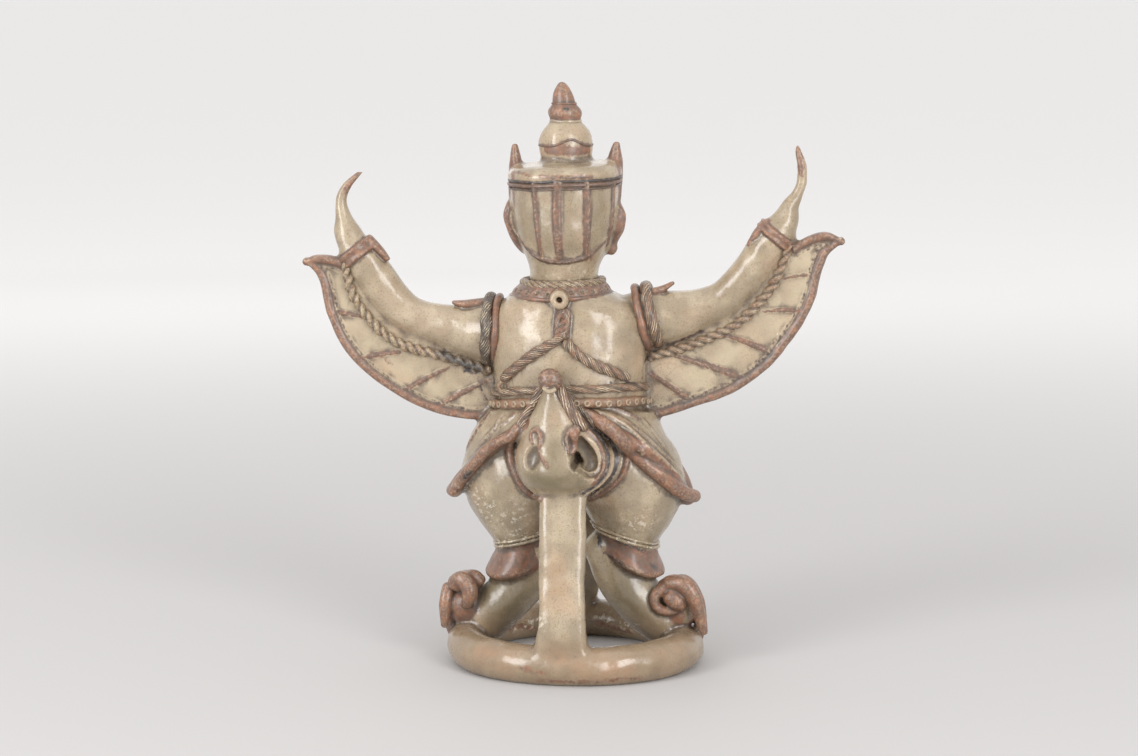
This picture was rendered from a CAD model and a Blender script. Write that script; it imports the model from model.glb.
# %% [markdown]
# # A glazed stoneware garuda
#
# The object is a winged bird-man about 32 cm tall, built by hand from coils, rolls and slabs of one clay,
# brushed with iron wash, dipped in an ash glaze and fired once. The figure, the prop behind it and the ring
# under its claws are one piece. This lesson follows the potter: first the plain clay forms, joined and
# smoothed with wet fingers, then the ropes, rolls and pellets laid on top, then the wash and the glaze.

import math

import bmesh
import bpy
import numpy as np
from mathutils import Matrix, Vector
from mathutils.bvhtree import BVHTree
from mathutils.kdtree import KDTree


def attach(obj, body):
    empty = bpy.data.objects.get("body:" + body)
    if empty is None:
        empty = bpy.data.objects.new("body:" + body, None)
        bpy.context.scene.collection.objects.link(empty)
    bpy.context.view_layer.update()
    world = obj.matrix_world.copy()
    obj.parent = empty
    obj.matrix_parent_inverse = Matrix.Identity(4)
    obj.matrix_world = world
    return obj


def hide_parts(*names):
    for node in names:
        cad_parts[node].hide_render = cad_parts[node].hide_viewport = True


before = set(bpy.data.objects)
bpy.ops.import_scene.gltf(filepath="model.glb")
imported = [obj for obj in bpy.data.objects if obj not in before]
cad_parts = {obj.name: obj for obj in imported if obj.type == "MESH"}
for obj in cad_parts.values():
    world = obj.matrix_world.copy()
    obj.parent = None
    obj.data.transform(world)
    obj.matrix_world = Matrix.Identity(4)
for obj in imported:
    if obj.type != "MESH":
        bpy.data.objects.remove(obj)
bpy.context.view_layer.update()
figure_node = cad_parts["garuda_figure"]

# %% [markdown]
# ## Sizes
#
# The ring, the prop, the wing plates and the small bores have sizes of their own, in millimetres. The
# figure itself is free modelling, so its forms are written in parts, 300 to the height of the figure,
# counted upwards from the ring's top and sideways from the ring's middle. The clay is worked in
# millimetres and turned to metres once, at the end.

# %% Sizes in millimetres
MM = 0.001
FIGURE_HEIGHT = 300
RING_RADIUS = 60.5
RING_WIDTH = 22
RING_HEIGHT = 20
RING_FLATTENING = 7
PROP_WIDTH = 25
PROP_DEPTH = 14
WING_PLATE = 6
WING_RIM = 7
WING_RELIEF = 1.4
ROPE_WIDTH = 5.4
STRAP_WIDTH = 4.8
BAND_RELIEF = 1.6
VENT_BORE = 3.2
SASH_WIDTH = 23
SASH_DEPTH = 9

FIGURE_PARTS = 300
PART = FIGURE_HEIGHT / FIGURE_PARTS
STANCE = -0.5
FOOT_SHARE = 0.56
RING_FOOT = FOOT_SHARE * RING_WIDTH / 2
UNDERSIDE_REACH = 0.01
print("one part of the figure is", PART, "mm")


# %% Where the ring's middle is
def corners_of(mesh):
    """The corners of a mesh, as rows of x, y and z."""
    points = np.empty(3 * len(mesh.vertices))
    mesh.vertices.foreach_get("co", points)
    return points.reshape(-1, 3)


corners = corners_of(figure_node.data) / MM
underside = corners[corners[:, 2] < UNDERSIDE_REACH]
RING_MIDDLE = np.array([
    (underside[:, 0].min() + underside[:, 0].max()) / 2,
    underside[:, 1].min() + RING_RADIUS + RING_FOOT,
    0,
])


def place(spot):
    """Turns a place in the figure's own parts into millimetres in the scene."""
    x, y, z = spot
    return RING_MIDDLE + np.array([(x + STANCE) * PART, y * PART, RING_HEIGHT + z * PART])


print("the ring's middle is at", RING_MIDDLE.round(2))

# %% [markdown]
# ## The camera
#
# The photo was taken with a long lens, a little above the ring and a few degrees round to the figure's
# left, looking at its back. The lens and the distance were fitted to the ring's ellipse and the tips.

# %% The camera's place
PHOTO_SIZE = (1138, 756)
CAMERA_AZIMUTH = math.radians(185)
CAMERA_ELEVATION = math.radians(8.5)
CAMERA_DISTANCE = 1500
CAMERA_TARGET = np.array([1.45, 0, 157.5])
SENSOR_WIDTH = 36
LENS = 86.3

back_way = np.array([
    math.sin(CAMERA_AZIMUTH) * math.cos(CAMERA_ELEVATION),
    -math.cos(CAMERA_AZIMUTH) * math.cos(CAMERA_ELEVATION),
    math.sin(CAMERA_ELEVATION),
])
camera_place = CAMERA_TARGET + CAMERA_DISTANCE * back_way
print("camera at", camera_place.round(1), "mm")

# %% The camera itself, and what its picture spans
camera_data = bpy.data.cameras.new("camera")
camera_data.sensor_width = SENSOR_WIDTH
camera_data.lens = LENS
camera = bpy.data.objects.new("camera", camera_data)
camera.location = camera_place * MM
camera.rotation_euler = Vector(back_way).to_track_quat("Z", "Y").to_euler()
bpy.context.collection.objects.link(camera)
bpy.context.scene.camera = camera
FOCAL_PIXELS = LENS / SENSOR_WIDTH * PHOTO_SIZE[0]
right_way = np.cross([0, 0, 1], back_way)
right_way /= np.linalg.norm(right_way)
up_way = np.cross(back_way, right_way)
print("the lens is as long as", round(FOCAL_PIXELS), "pixels of the photo")

# %% [markdown]
# ## The studio
#
# The figure stands on a seamless pale sweep between two tall soft lights. Their long reflections are what
# shows that the glaze is smooth: streaks down the prop, the forearms and the shoulders. A large soft light
# overhead and a pale surround keep the shadows open. The picture is shown as a plain camera shows it.

# %% Colours, and one way to add a node
def linear(colour):
    """An sRGB hex colour as the linear values that Blender calculates with."""
    channels = [int(colour[k:k + 2], 16) / 255 for k in (1, 3, 5)]
    return [c / 12.92 if c <= 0.04045 else ((c + 0.055) / 1.055) ** 2.4 for c in channels] + [1.0]


def put(tree, kind, inputs=None, **settings):
    """Adds a node with its settings, and gives each named input a value or a link."""
    node = tree.nodes.new(kind)
    for name, value in settings.items():
        setattr(node, name, value)
    for name, value in (inputs or {}).items():
        socket = node.inputs[name]
        if isinstance(value, bpy.types.NodeSocket):
            tree.links.new(value, socket)
        else:
            socket.default_value = value
    return node


# %% Surround
SURROUND_COLOUR = "#f4f3f3"
SURROUND_STRENGTH = 0.96

bpy.context.scene.view_settings.view_transform = "Standard"
world = bpy.data.worlds.new("surround")
world.use_nodes = True
background = world.node_tree.nodes["Background"]
background.inputs["Color"].default_value = linear(SURROUND_COLOUR)
background.inputs["Strength"].default_value = SURROUND_STRENGTH
bpy.context.scene.world = world
print("the surround shines at", SURROUND_STRENGTH)

# %% Soft lights
FIGURE_MIDDLE = (0, 0, 160)
SOFT_LIGHTS = [  # name, place, width and height in millimetres, watts
    ("tall light left", (1180, 1250, 760), 640, 1250, 20),
    ("tall light right", (-1100, 1350, 700), 640, 1250, 20),
    ("overhead light", (150, 350, 1500), 1800, 1800, 5),
    ("front light", (300, -1500, 900), 1200, 1200, 2),
]

for name, spot, wide, tall, watts in SOFT_LIGHTS:
    data = bpy.data.lights.new(name, "AREA")
    data.shape = "RECTANGLE"
    data.size = wide * MM
    data.size_y = tall * MM
    data.energy = watts
    light = bpy.data.objects.new(name, data)
    light.location = Vector(spot) * MM
    light.rotation_euler = Vector(np.subtract(spot, FIGURE_MIDDLE)).to_track_quat("Z", "Y").to_euler()
    bpy.context.collection.objects.link(light)
print(len(SOFT_LIGHTS), "soft lights")

# %% Floor
FLOOR_REACH = 200000

half = FLOOR_REACH * MM
floor_mesh = bpy.data.meshes.new("floor")
floor_corners = [(x * half, y * half, 0) for x, y in ((-1, -1), (1, -1), (1, 1), (-1, 1))]
floor_mesh.from_pydata(floor_corners, [], [(0, 1, 2, 3)])
floor = bpy.data.objects.new("floor", floor_mesh)
bpy.context.collection.objects.link(floor)
print("the floor reaches", FLOOR_REACH / 1000, "m each way")

# %% Paper, paler the further it is from the figure
NEAR_PAPER = "#b9b7b6"
FAR_PAPER = "#f9f8f7"
NEAR_EDGE = 200
FAR_EDGE = 2300
PAPER_ROUGHNESS = 0.8

paper = bpy.data.materials.new("matt backdrop paper")
paper.use_nodes = True
paper_tree = paper.node_tree
paper_place = put(paper_tree, "ShaderNodeTexCoord").outputs["Object"]
paper_way = put(paper_tree, "ShaderNodeVectorMath", {0: paper_place}, operation="LENGTH").outputs["Value"]
paper_share = put(paper_tree, "ShaderNodeMapRange", {
    "Value": paper_way, "From Min": NEAR_EDGE * MM, "From Max": FAR_EDGE * MM,
}, interpolation_type="SMOOTHSTEP").outputs[0]
paper_tone = put(paper_tree, "ShaderNodeMix", {
    0: paper_share, 6: linear(NEAR_PAPER), 7: linear(FAR_PAPER),
}, data_type="RGBA").outputs[2]
paper_shader = paper_tree.nodes["Principled BSDF"]
paper_tree.links.new(paper_tone, paper_shader.inputs["Base Color"])
paper_shader.inputs["Roughness"].default_value = PAPER_ROUGHNESS
floor_mesh.materials.append(paper)
print("the paper goes from", NEAR_PAPER, "to", FAR_PAPER)

# %% [markdown]
# ## Working clay in numbers
#
# Every form is kept as corners and faces until all are joined. A limb or a roll of clay is a loft: a
# closed section carried along a smooth run of stations, each with its own width and depth, and domed at
# both ends. Eggs and turned forms follow the same idea.

# %% A smooth run through rows
LEAST_GAP = 1e-3


def spline(rows, steps):
    """A smooth run through rows of numbers; the first three columns are a place."""
    rows = np.array(rows, float)
    run = np.vstack([2 * rows[0] - rows[1], rows, 2 * rows[-1] - rows[-2]])
    gaps = np.sqrt(np.linalg.norm(np.diff(run[:, :3], axis=0), axis=1)).clip(LEAST_GAP)
    out = []
    for k in range(1, len(run) - 2):
        p0, p1, p2, p3 = run[k - 1:k + 3]
        g0, g1, g2 = gaps[k - 1:k + 2]
        m1 = ((p1 - p0) / g0 - (p2 - p0) / (g0 + g1) + (p2 - p1) / g1) * g1
        m2 = ((p2 - p1) / g1 - (p3 - p1) / (g1 + g2) + (p3 - p2) / g2) * g1
        u = np.linspace(0, 1, steps, endpoint=False)[:, None]
        out.append(
            (2 * u**3 - 3 * u**2 + 1) * p1 + (u**3 - 2 * u**2 + u) * m1
            + (-2 * u**3 + 3 * u**2) * p2 + (u**3 - u**2) * m2
        )
    out.append(run[-2][None])
    return np.vstack(out)


print("two rows give", len(spline([(0, 0, 0), (0, 0, 9)], 7)), "places")


# %% A loft, the shape of a limb or a roll
DOME_RINGS = 5
TIP_RISE = 0.04


def tube_faces(rings, sides):
    """Faces of a run of closed rings, with a single corner before the first and after the last."""
    faces = []
    last = 1 + rings * sides
    for j in range(sides):
        k = (j + 1) % sides
        faces.append((0, 1 + k, 1 + j))
        faces.append((last, last - sides + j, last - sides + k))
    for i in range(rings - 1):
        row = 1 + i * sides
        for j in range(sides):
            k = (j + 1) % sides
            faces.append((row + j, row + k, row + sides + k, row + sides + j))
    return faces


def squared(angle, square):
    """The two sides of a section at angles round it: 1 is an ellipse, less is squarer."""
    across = np.sign(np.cos(angle)) * np.abs(np.cos(angle)) ** square
    through = np.sign(np.sin(angle)) * np.abs(np.sin(angle)) ** square
    return across, through


def loft(rows, sides=36, steps=7, facing=(0, 1, 0), square=1.0, bulge=0.8, level=False, tilt=(0, 0)):
    """A limb through rows of [x, y, z, wide, deep] in millimetres; `deep` points along `facing`."""
    full = [list(row) + [row[3]] * (5 - len(row)) for row in rows]
    run = spline(full, steps)
    route = run[:, :3]
    ahead = np.gradient(route, axis=0)
    if level:
        ahead = np.zeros_like(route) + [0, 0, np.sign(route[-1, 2] - route[0, 2])]
    ahead /= np.linalg.norm(ahead, axis=1)[:, None]
    size = run[:, 3:5].clip(0.05) / 2
    dome = np.linspace(0, math.pi / 2, DOME_RINGS + 1, endpoint=False)[1:]
    caps = []
    for end, way in ((0, -1), (-1, 1)):
        reach = bulge * size[end].min() * np.sin(dome)[:, None]
        rings = route[end] + way * reach * ahead[end]
        caps.append((rings, np.tile(ahead[end], (DOME_RINGS, 1)), size[end] * np.cos(dome)[:, None]))
    (c0, a0, s0), (c1, a1, s1) = caps
    centres = np.vstack([c0[::-1], route, c1])
    aheads = np.vstack([a0, ahead, a1])
    sizes = np.vstack([s0[::-1], size, s1])
    deep_way = np.array(facing, float) - (aheads @ np.array(facing, float))[:, None] * aheads
    deep_way /= np.linalg.norm(deep_way, axis=1)[:, None]
    wide_way = np.cross(deep_way, aheads)
    across, through = squared(2 * math.pi * np.arange(sides) / sides, square)
    u = across[None] * sizes[:, :1]
    v = through[None] * sizes[:, 1:]
    points = centres[:, None] + u[..., None] * wide_way[:, None] + v[..., None] * deep_way[:, None]
    points[..., 2] += tilt[0] * u + tilt[1] * v
    ends = np.array([
        centres[0] - aheads[0] * bulge * size[0].min() * TIP_RISE,
        centres[-1] + aheads[-1] * bulge * size[-1].min() * TIP_RISE,
    ])
    points = np.vstack([ends[:1], points.reshape(-1, 3), ends[1:]])
    return points, tube_faces(len(centres), sides)


print("a test roll has", len(loft([(0, 0, 0, 4), (0, 0, 9, 4)])[0]), "corners")


# %% Forms in the figure's own parts
def figure_loft(rows, **options):
    """A loft with its rows in the figure's own parts."""
    placed = [list(place(row[:3])) + [size * PART for size in row[3:]] for row in rows]
    return loft(placed, **options)


def stack(sections, **options):
    """A stack of level sections, [z, x, y, wide, deep], such as the trunk or the head."""
    rows = [(x, y, z, wide, deep) for z, x, y, wide, deep in sections]
    return figure_loft(rows, **{"bulge": 0.12, "level": True, "sides": 72, **options})


print("a test stack has", len(stack([(0, 0, 0, 9, 9), (9, 0, 0, 9, 9)])[0]), "corners")


# %% Eggs and turned forms
def egg(centre, wide, deep, tall, turn=(0, 0, 0), sides=32, rows=20):
    """An egg-shaped lump, turned about its own centre by angles about x, y and z."""
    polar = np.linspace(0, math.pi, rows + 2)[1:-1, None]
    around = 2 * math.pi * np.arange(sides)[None] / sides
    height = -np.cos(polar) + 0 * around
    unit = np.stack([np.sin(polar) * np.cos(around), np.sin(polar) * np.sin(around), height], 2)
    unit = np.vstack([[[0, 0, -1]], unit.reshape(-1, 3), [[0, 0, 1]]])
    points = unit * np.array([wide, deep, tall]) * PART / 2
    for axis, angle in enumerate(turn):
        j, k = (axis + 1) % 3, (axis + 2) % 3
        c, s = math.cos(angle), math.sin(angle)
        points[:, j], points[:, k] = c * points[:, j] - s * points[:, k], s * points[:, j] + c * points[:, k]
    return points + place(centre), tube_faces(rows, sides)


def turned(profile, centre, lean=0.0, slope=0.0, sides=80, steps=5):
    """A turned form from heights and radii, that leans over and slopes a little."""
    run = spline([(height, radius, 0) for height, radius in profile], steps)
    angle = 2 * math.pi * np.arange(sides) / sides
    height = run[:, :1] + 0 * angle[None]
    radius = run[:, 1:2].clip(0.02)
    points = np.stack([radius * np.cos(angle), radius * np.sin(angle), height], 2)
    points = np.vstack([[[0, 0, run[0, 0]]], points.reshape(-1, 3), [[0, 0, run[-1, 0]]]])
    x = points[:, 0].copy()
    points[:, 0] += lean * points[:, 2]
    points[:, 2] += slope * x
    return points * PART + place(centre), tube_faces(len(run), sides)


print("a test egg has", len(egg((0, 0, 0), 9, 9, 9)[0]), "corners")

# %% [markdown]
# ## Three shelves of forms
#
# The forms go on three shelves. `CLAY` holds the plain body, which is joined first and smoothed, so its
# joints are soft. `TRIM` holds rolls that were wiped into the body. `LAID` holds twisted cords and thin
# bands that keep their own sharp edge. Each form also says how much iron wash it carries, how far that
# wash turns blue-black and how far it has worn back to pale clay, because the brush followed the modelling.

# %% Shelves
CLAY = []
TRIM = []
LAID = []


def shelve(shelf, form, iron=0.0, black=0.0, worn=0.0, hair=0.0):
    """Keeps a form with its shares of iron wash, blue-black, wear and fine scored lines."""
    marks = form[2] if len(form) > 2 else {}
    wash = {"iron": iron, "black": black, "worn": worn, "hair": hair}
    shelf.append({"points": form[0], "faces": form[1], "marks": marks, **wash})


# %% [markdown]
# ## Trunk, neck and head
#
# The trunk is a barrel with square shoulders, drawn a little squarer than an ellipse. The head is an egg
# that flares to the brim of a ribbed cap, and a turned finial with a dome and a cone stands on it.

# %% Sections of the trunk and the head: height, place across and through, width, depth
TRUNK = [
    (104, 2.6, 0, 76, 60), (122, 3.1, 0, 80, 63), (136, 3.4, 0, 82, 65), (150, 3.8, 0, 84, 66),
    (163, 4.2, 0, 84, 64), (173, 4.8, 0, 82, 60), (180, 6, 0, 72, 56), (184.4, 7.4, 0, 58, 51),
]
TRUNK_SQUARE = 0.86
SHOULDER_TILT = -0.02
HEAD = [
    (184, 7.6, 0, 38, 36), (196, 7.2, 0, 37.5, 38), (203, 6.8, 0, 41.4, 44), (209, 6.6, 0, 47, 51),
    (216, 6.6, 0, 52, 57), (228, 6.4, 0, 56.6, 59), (241, 6.4, 0, 58.6, 60), (249, 6.4, 0, 59, 60),
]
CAP_CENTRE = 6.5
CAP_RADIUS = 29
CAP_BRIM = [
    (248, CAP_CENTRE, 0, 61, 61.5), (251.6, CAP_CENTRE, 0, 61.6, 62), (254.4, CAP_CENTRE, 0, 56, 56),
]
print(len(TRUNK), "sections of the trunk and", len(HEAD), "of the head")

# %% Heights and radii of the cap's top and the finial
CROWN_TOP = [(-4, 28), (0, 29.8), (3, 29), (5.6, 24.5), (7.2, 16), (7.8, 8), (8, 0)]
DOME = [(0, 12.4), (2, 13.2), (6, 14.4), (11, 14.4), (16, 13.2), (20, 10.2), (22, 7.6), (23, 0)]
CONE = [
    (21, 6.6), (23, 7.8), (26, 9.3), (29, 8.6), (31.2, 6.6), (33.2, 6.3), (37, 5.4), (41, 3.6), (43.4, 1.6),
    (44, 0),
]
CAP_TOP_PLACE = (CAP_CENTRE, 0, 248.6)
CAP_TOP_SLOPE = -0.05
CROWN_PLACE = (5.4, 0, 256)
FINIAL_LEAN = 0.055
BRIM_TILT = (-0.04, 0)
IRON_STRONG = 0.9

shelve(CLAY, stack(TRUNK, square=TRUNK_SQUARE, tilt=(SHOULDER_TILT, 0)))
shelve(CLAY, stack(HEAD))
shelve(CLAY, turned(CROWN_TOP, CAP_TOP_PLACE, slope=CAP_TOP_SLOPE))
shelve(CLAY, turned(DOME, CROWN_PLACE, lean=FINIAL_LEAN))
shelve(CLAY, turned(CONE, CROWN_PLACE, lean=FINIAL_LEAN), iron=IRON_STRONG, black=0.12)
shelve(CLAY, stack(CAP_BRIM, tilt=BRIM_TILT, bulge=0.1))
print(len(CLAY), "clay forms so far")

# %% [markdown]
# ## Face
#
# The face is on the side that the photo doesn't show. It is a plain bird-man of this lesson's own: round
# eyes under heavy brows, a short hooked beak and full cheeks, with a three-leaf diadem above.

# %% Beak, cheeks, eyes and brows
BEAK = [
    (-22, 226.5, 15, 16), (-33, 226, 13, 15), (-39.5, 221.5, 10, 11.5), (-42.6, 215.6, 6.4, 7),
    (-43, 211, 2.6, 3),
]
CHIN = (-30, 212)
CHEEK = (14, -22.5, 217)
EYE = (11, -25.5, 229)
PUPIL_DEPTH = -29.2
LID = [(-6, -26, 229), (-3.4, -28.6, 233), (0, -29.4, 234.4), (3.4, -28.6, 233), (6, -25, 229)]
BROW = [(3, -31, 232, 4, 4), (11, -28.6, 238, 4.6, 4.4), (21, -21, 236, 3, 3.4)]
NOSTRIL = (3.6, -37.6, 222)

shelve(CLAY, figure_loft([(CAP_CENTRE, *row) for row in BEAK], facing=(1, 0, 0)))
shelve(CLAY, egg((CAP_CENTRE, *CHIN), 15, 18, 6, (0.1, 0, 0)))
for way in (-1, 1):
    shelve(CLAY, egg((CAP_CENTRE + way * CHEEK[0], *CHEEK[1:]), 13, 11, 8, (0, way * 0.4, 0)))
    eye_x = CAP_CENTRE + way * EYE[0]
    shelve(TRIM, egg((eye_x, *EYE[1:]), 10.5, 8, 8.5), iron=0.1)
    shelve(TRIM, egg((eye_x, PUPIL_DEPTH, EYE[2]), 3.4, 2.4, 3.4), iron=1, black=0.8)
    shelve(TRIM, figure_loft([(eye_x + x, y, z, 2, 2) for x, y, z in LID]), iron=0.6)
    brow = [(CAP_CENTRE + way * x, *rest) for x, *rest in BROW]
    shelve(TRIM, figure_loft(brow), iron=0.8, black=0.2)
    shelve(TRIM, egg((CAP_CENTRE + way * NOSTRIL[0], *NOSTRIL[1:]), 2.6, 2.4, 1.8), iron=1, black=0.9)
print(len(TRIM), "trims on the face")

# %% Diadem, ears and flanges
DIADEM_LEAVES = ((-14, 246.6, 9), (0, 250, 11), (14, 246.6, 9))
LEAF_TILT = (0.12, 0, 0)
LEFT_EAR = [
    (36.6, -2, 234, 2.8, 8), (36.4, -2, 228, 7.6, 12), (34.6, -2, 220, 7.8, 12), (31.8, -2, 212, 6, 8),
    (29.8, -2, 207, 2.6, 4),
]
RIGHT_EAR = [
    (-24, -2, 233, 2.6, 8), (-23.8, -2, 227.5, 6.6, 12), (-22, -2, 220, 7.4, 12), (-20, -2, 214, 5, 7),
]
RIGHT_LOBE = (-18.6, -2, 209.5)
LEFT_FLANGE = [
    (33.6, -5, 229, 5, 7), (34.6, -5, 243, 6.4, 9), (34, -5, 257, 6.8, 9), (34.6, -5, 265, 3.6, 4.4),
]
RIGHT_FLANGE = [
    (-21.6, -5, 229, 5, 7), (-21.2, -5, 243, 6.6, 9), (-20.2, -5, 257, 8, 9), (-20.6, -5, 266.4, 3.8, 4.4),
]

for offset, z, tall in DIADEM_LEAVES:
    depth = -math.sqrt(CAP_RADIUS * CAP_RADIUS - offset * offset)
    shelve(TRIM, egg((CAP_CENTRE + offset, depth, z), 10, 6, tall * 2, LEAF_TILT), iron=0.75)
    shelve(TRIM, egg((CAP_CENTRE + offset, depth - 2.6, z - 1), 4, 3, tall, LEAF_TILT), iron=0.2)
for rows in (LEFT_EAR, RIGHT_EAR):
    shelve(CLAY, figure_loft(rows), iron=IRON_STRONG, black=0.1)
for rows in (LEFT_FLANGE, RIGHT_FLANGE):
    shelve(CLAY, figure_loft(rows), iron=0.75, black=0.3)
shelve(CLAY, egg(RIGHT_LOBE, 7, 9, 8.6), iron=IRON_STRONG)
print(len(CLAY), "clay forms,", len(TRIM), "trims")

# %% [markdown]
# ## Arms and hands
#
# Each arm is one roll of clay, bent at the elbow and narrowed at the wrist. The hand is pulled out into a
# single curving horn.

# %% Arms and hands
LEFT_ARM = [
    (28, 0, 164, 32), (46, 0, 163.4, 35), (60, 0, 164.2, 28), (79, 0, 168.2, 21), (93, 0, 173.4, 20),
    (103, 0, 183, 20), (112, 0, 195, 20), (122.7, 0, 208.8, 18.8),
]
LEFT_HAND = [
    (121.6, 0, 207, 17), (126.4, 0, 218, 15), (128.2, 0, 226, 9.2), (129, 0, 232.4, 6.6), (128, 0, 239, 5.6),
    (124.8, 0, 244.4, 4.4), (120.4, 0, 248.6, 3), (117.8, 0, 250.2, 1.8),
]
RIGHT_ARM = [
    (-18, 0, 162, 26), (-34.4, 0, 170.2, 31.4), (-54.8, 0, 173.6, 27), (-68, 0, 177.4, 22), (-79, 0, 182, 20),
    (-88, 0, 189.6, 20), (-95.4, 0, 199.4, 19.8), (-102.4, 0, 211, 20), (-109.6, 0, 219.8, 19.4),
]
RIGHT_HAND = [
    (-108.6, 0, 218.4, 17.6), (-113.4, 0, 227, 14.2), (-116.4, 0, 234.6, 9.4), (-119.8, 0, 240.6, 6.2),
    (-121.8, 0, 248, 5.6), (-121.6, 0, 256, 5.2), (-119.8, 0, 262, 3.6), (-119, 0, 266, 2),
]
for rows in (LEFT_ARM, RIGHT_ARM, LEFT_HAND, RIGHT_HAND):
    shelve(CLAY, figure_loft(rows, sides=48))
print(len(CLAY), "clay forms with the arms")


# %% Bracelets and tabs
def along(rows, start, end, extra, count=4):
    """A stretch of a limb from share `start` to share `end`, thicker by `extra` on every side."""
    run = spline(rows, 20)
    shares = np.linspace(start, end, count) * (len(run) - 1)
    picked = np.stack([np.interp(shares, np.arange(len(run)), run[:, k]) for k in range(run.shape[1])], 1)
    picked[:, 3] += 2 * extra / PART
    return [tuple(row) for row in picked]


WRISTS = ((LEFT_ARM, 0.955, 0.995), (RIGHT_ARM, 0.95, 0.99))
WRIST_EDGE = 0.003
for rows, start, end in WRISTS:
    bracelet = along(rows, start, end, BAND_RELIEF * 0.8)
    shelve(TRIM, figure_loft(bracelet, sides=48, bulge=0.1), iron=0.85, black=0.25)
    for share in (start, end):
        band = along(rows, share - WRIST_EDGE, share + WRIST_EDGE, BAND_RELIEF * 1.2, 2)
        shelve(TRIM, figure_loft(band, sides=48, bulge=0.12), iron=0.8, black=0.1)
TABS = [
    [(50, 2, 180, 5, 7), (60, 4, 179.2, 4.6, 7), (67, 4, 179.6, 2.2, 4)],
    [(-36, 2, 185.4, 5, 7), (-45, 4, 187, 4.4, 7), (-53, 4, 191.4, 2.2, 4)],
    [(114, 3, 214, 5, 7), (108, 4, 208, 4.4, 7), (103.6, 4, 203, 2.6, 4)],
    [(-103, 3, 224.4, 5, 7), (-97.4, 4, 219, 4.2, 7), (-93, 4, 213.4, 2.4, 4)],
]
for rows in TABS:
    shelve(TRIM, figure_loft(rows), iron=0.85, black=0.2)
print(len(CLAY), "clay forms,", len(TRIM), "trims")

# %% [markdown]
# ## Wings
#
# Each wing is a slab cut to shape and hung under the arm. A roll of clay runs round its edge, and quills
# lie across it. Both show on the two faces, so their section is deeper than the slab is thick.

# %% Outlines of the wings and their quills
LEFT_WING_TOP = [(127, 202.4), (136, 204.6), (144, 204.6), (151, 201.2)]
LEFT_WING_EDGE = [
    (151, 201.2), (143.4, 194), (139.6, 184), (137.2, 172), (130.4, 156.4), (118, 141.4), (99.6, 128),
    (78, 118.4), (57, 114.4), (42, 117),
]
LEFT_WING_ROOT = [(30, 116), (30, 150), (60, 164), (93, 173), (108, 190)]
RIGHT_WING_TOP = [(-116, 212.4), (-125, 217.6), (-135, 219.6), (-144.7, 214.8)]
RIGHT_WING_EDGE = [
    (-144.7, 214.8), (-136, 207), (-132.4, 196), (-130.2, 185), (-123.7, 171.1), (-109, 149.2), (-90, 134),
    (-68, 124.4), (-46, 117.6), (-36, 118),
]
RIGHT_WING_ROOT = [(-24, 118), (-24, 158), (-55, 173), (-80, 182), (-98, 205)]
LEFT_QUILLS = [
    (0.75, (137, 173.6), (117, 171.2)), (0.95, (120, 148), (97, 152)), (0.8, (98, 129), (70, 143.6)),
    (0.9, (78, 121), (47, 137.6)),
]
RIGHT_QUILLS = [
    (0.4, (-130, 197), (-112, 194.4)), (0.5, (-122, 177.2), (-101, 176.4)),
    (0.9, (-106, 154.2), (-80, 163.6)), (1.05, (-91, 139.6), (-54, 151.8)), (0.9, (-62, 127.6), (-37, 143.8)),
]
print(len(LEFT_QUILLS), "quills on the left wing and", len(RIGHT_QUILLS), "on the right")

# %% Plates
WING_MIDDLE = 1.5
PLATE_LAYERS = ((-0.5, 0.16), (-0.34, 0), (0.34, 0), (0.5, 0.16))


def outline_through(spots, steps=8):
    """A smooth line through spots in x and z."""
    return spline([(x, 0, z) for x, z in spots], steps)[:, [0, 2]]


def plate(outline, thickness, middle):
    """A slab from an outline in x and z, drawn in a little at both faces, so its edges are soft."""
    count = len(outline)
    edge_way = np.roll(outline, -1, 0) - np.roll(outline, 1, 0)
    edge_way /= np.linalg.norm(edge_way, axis=1)[:, None]
    signed = np.sum(outline[:, 0] * np.roll(outline[:, 1], -1) - outline[:, 1] * np.roll(outline[:, 0], -1))
    inward = np.stack([-edge_way[:, 1], edge_way[:, 0]], 1) * np.sign(signed)
    if signed < 0:
        outline, inward = outline[::-1], inward[::-1]
    layers = []
    for depth, inset in PLATE_LAYERS:
        line = outline + inward * inset * thickness / PART
        layers += [place((x, middle + depth * thickness / PART, z)) for x, z in line]
    faces = [tuple(range(count)), tuple(range(4 * count - 1, 3 * count - 1, -1))]
    for i in range(3):
        for j in range(count):
            k = (j + 1) % count
            faces.append((i * count + k, i * count + j, (i + 1) * count + j, (i + 1) * count + k))
    return np.array(layers), faces


square_plate = plate(np.array([(0, 0), (9, 0), (9, 9), (0, 9)], float), WING_PLATE, WING_MIDDLE)
print("a square plate has", len(square_plate[1]), "faces")

# %% Wings with their rims and quills
RIM_WASH = 0.85
RIM_INSET = 0.35
RIM_SHARE = 0.66
LINE_INSET = 0.92
THIN_TIP = 0.4
QUILL_BEND = 0.45
QUILL_TIP = 0.35


def on_wing(path, width, deep):
    """A roll through the wing plate, deep enough to show on both faces."""
    rows = [(x, WING_MIDDLE, z, width * share / PART, deep / PART) for x, z, share in path]
    return figure_loft(rows, square=0.7, bulge=0.4)


def rim_path(run, tip, way, inset_by):
    """A run set in from the wing's edge, and thinner at the tip."""
    path = []
    for k, (x, z) in enumerate(run):
        share = THIN_TIP if x == tip else 1
        inset = share * WING_RIM * inset_by / PART
        step = np.subtract(run[min(k + 1, len(run) - 1)], run[max(k - 1, 0)])
        step = step / np.linalg.norm(step)
        path.append((x + way * inset * step[1], z - way * inset * step[0], share))
    return path


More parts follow.
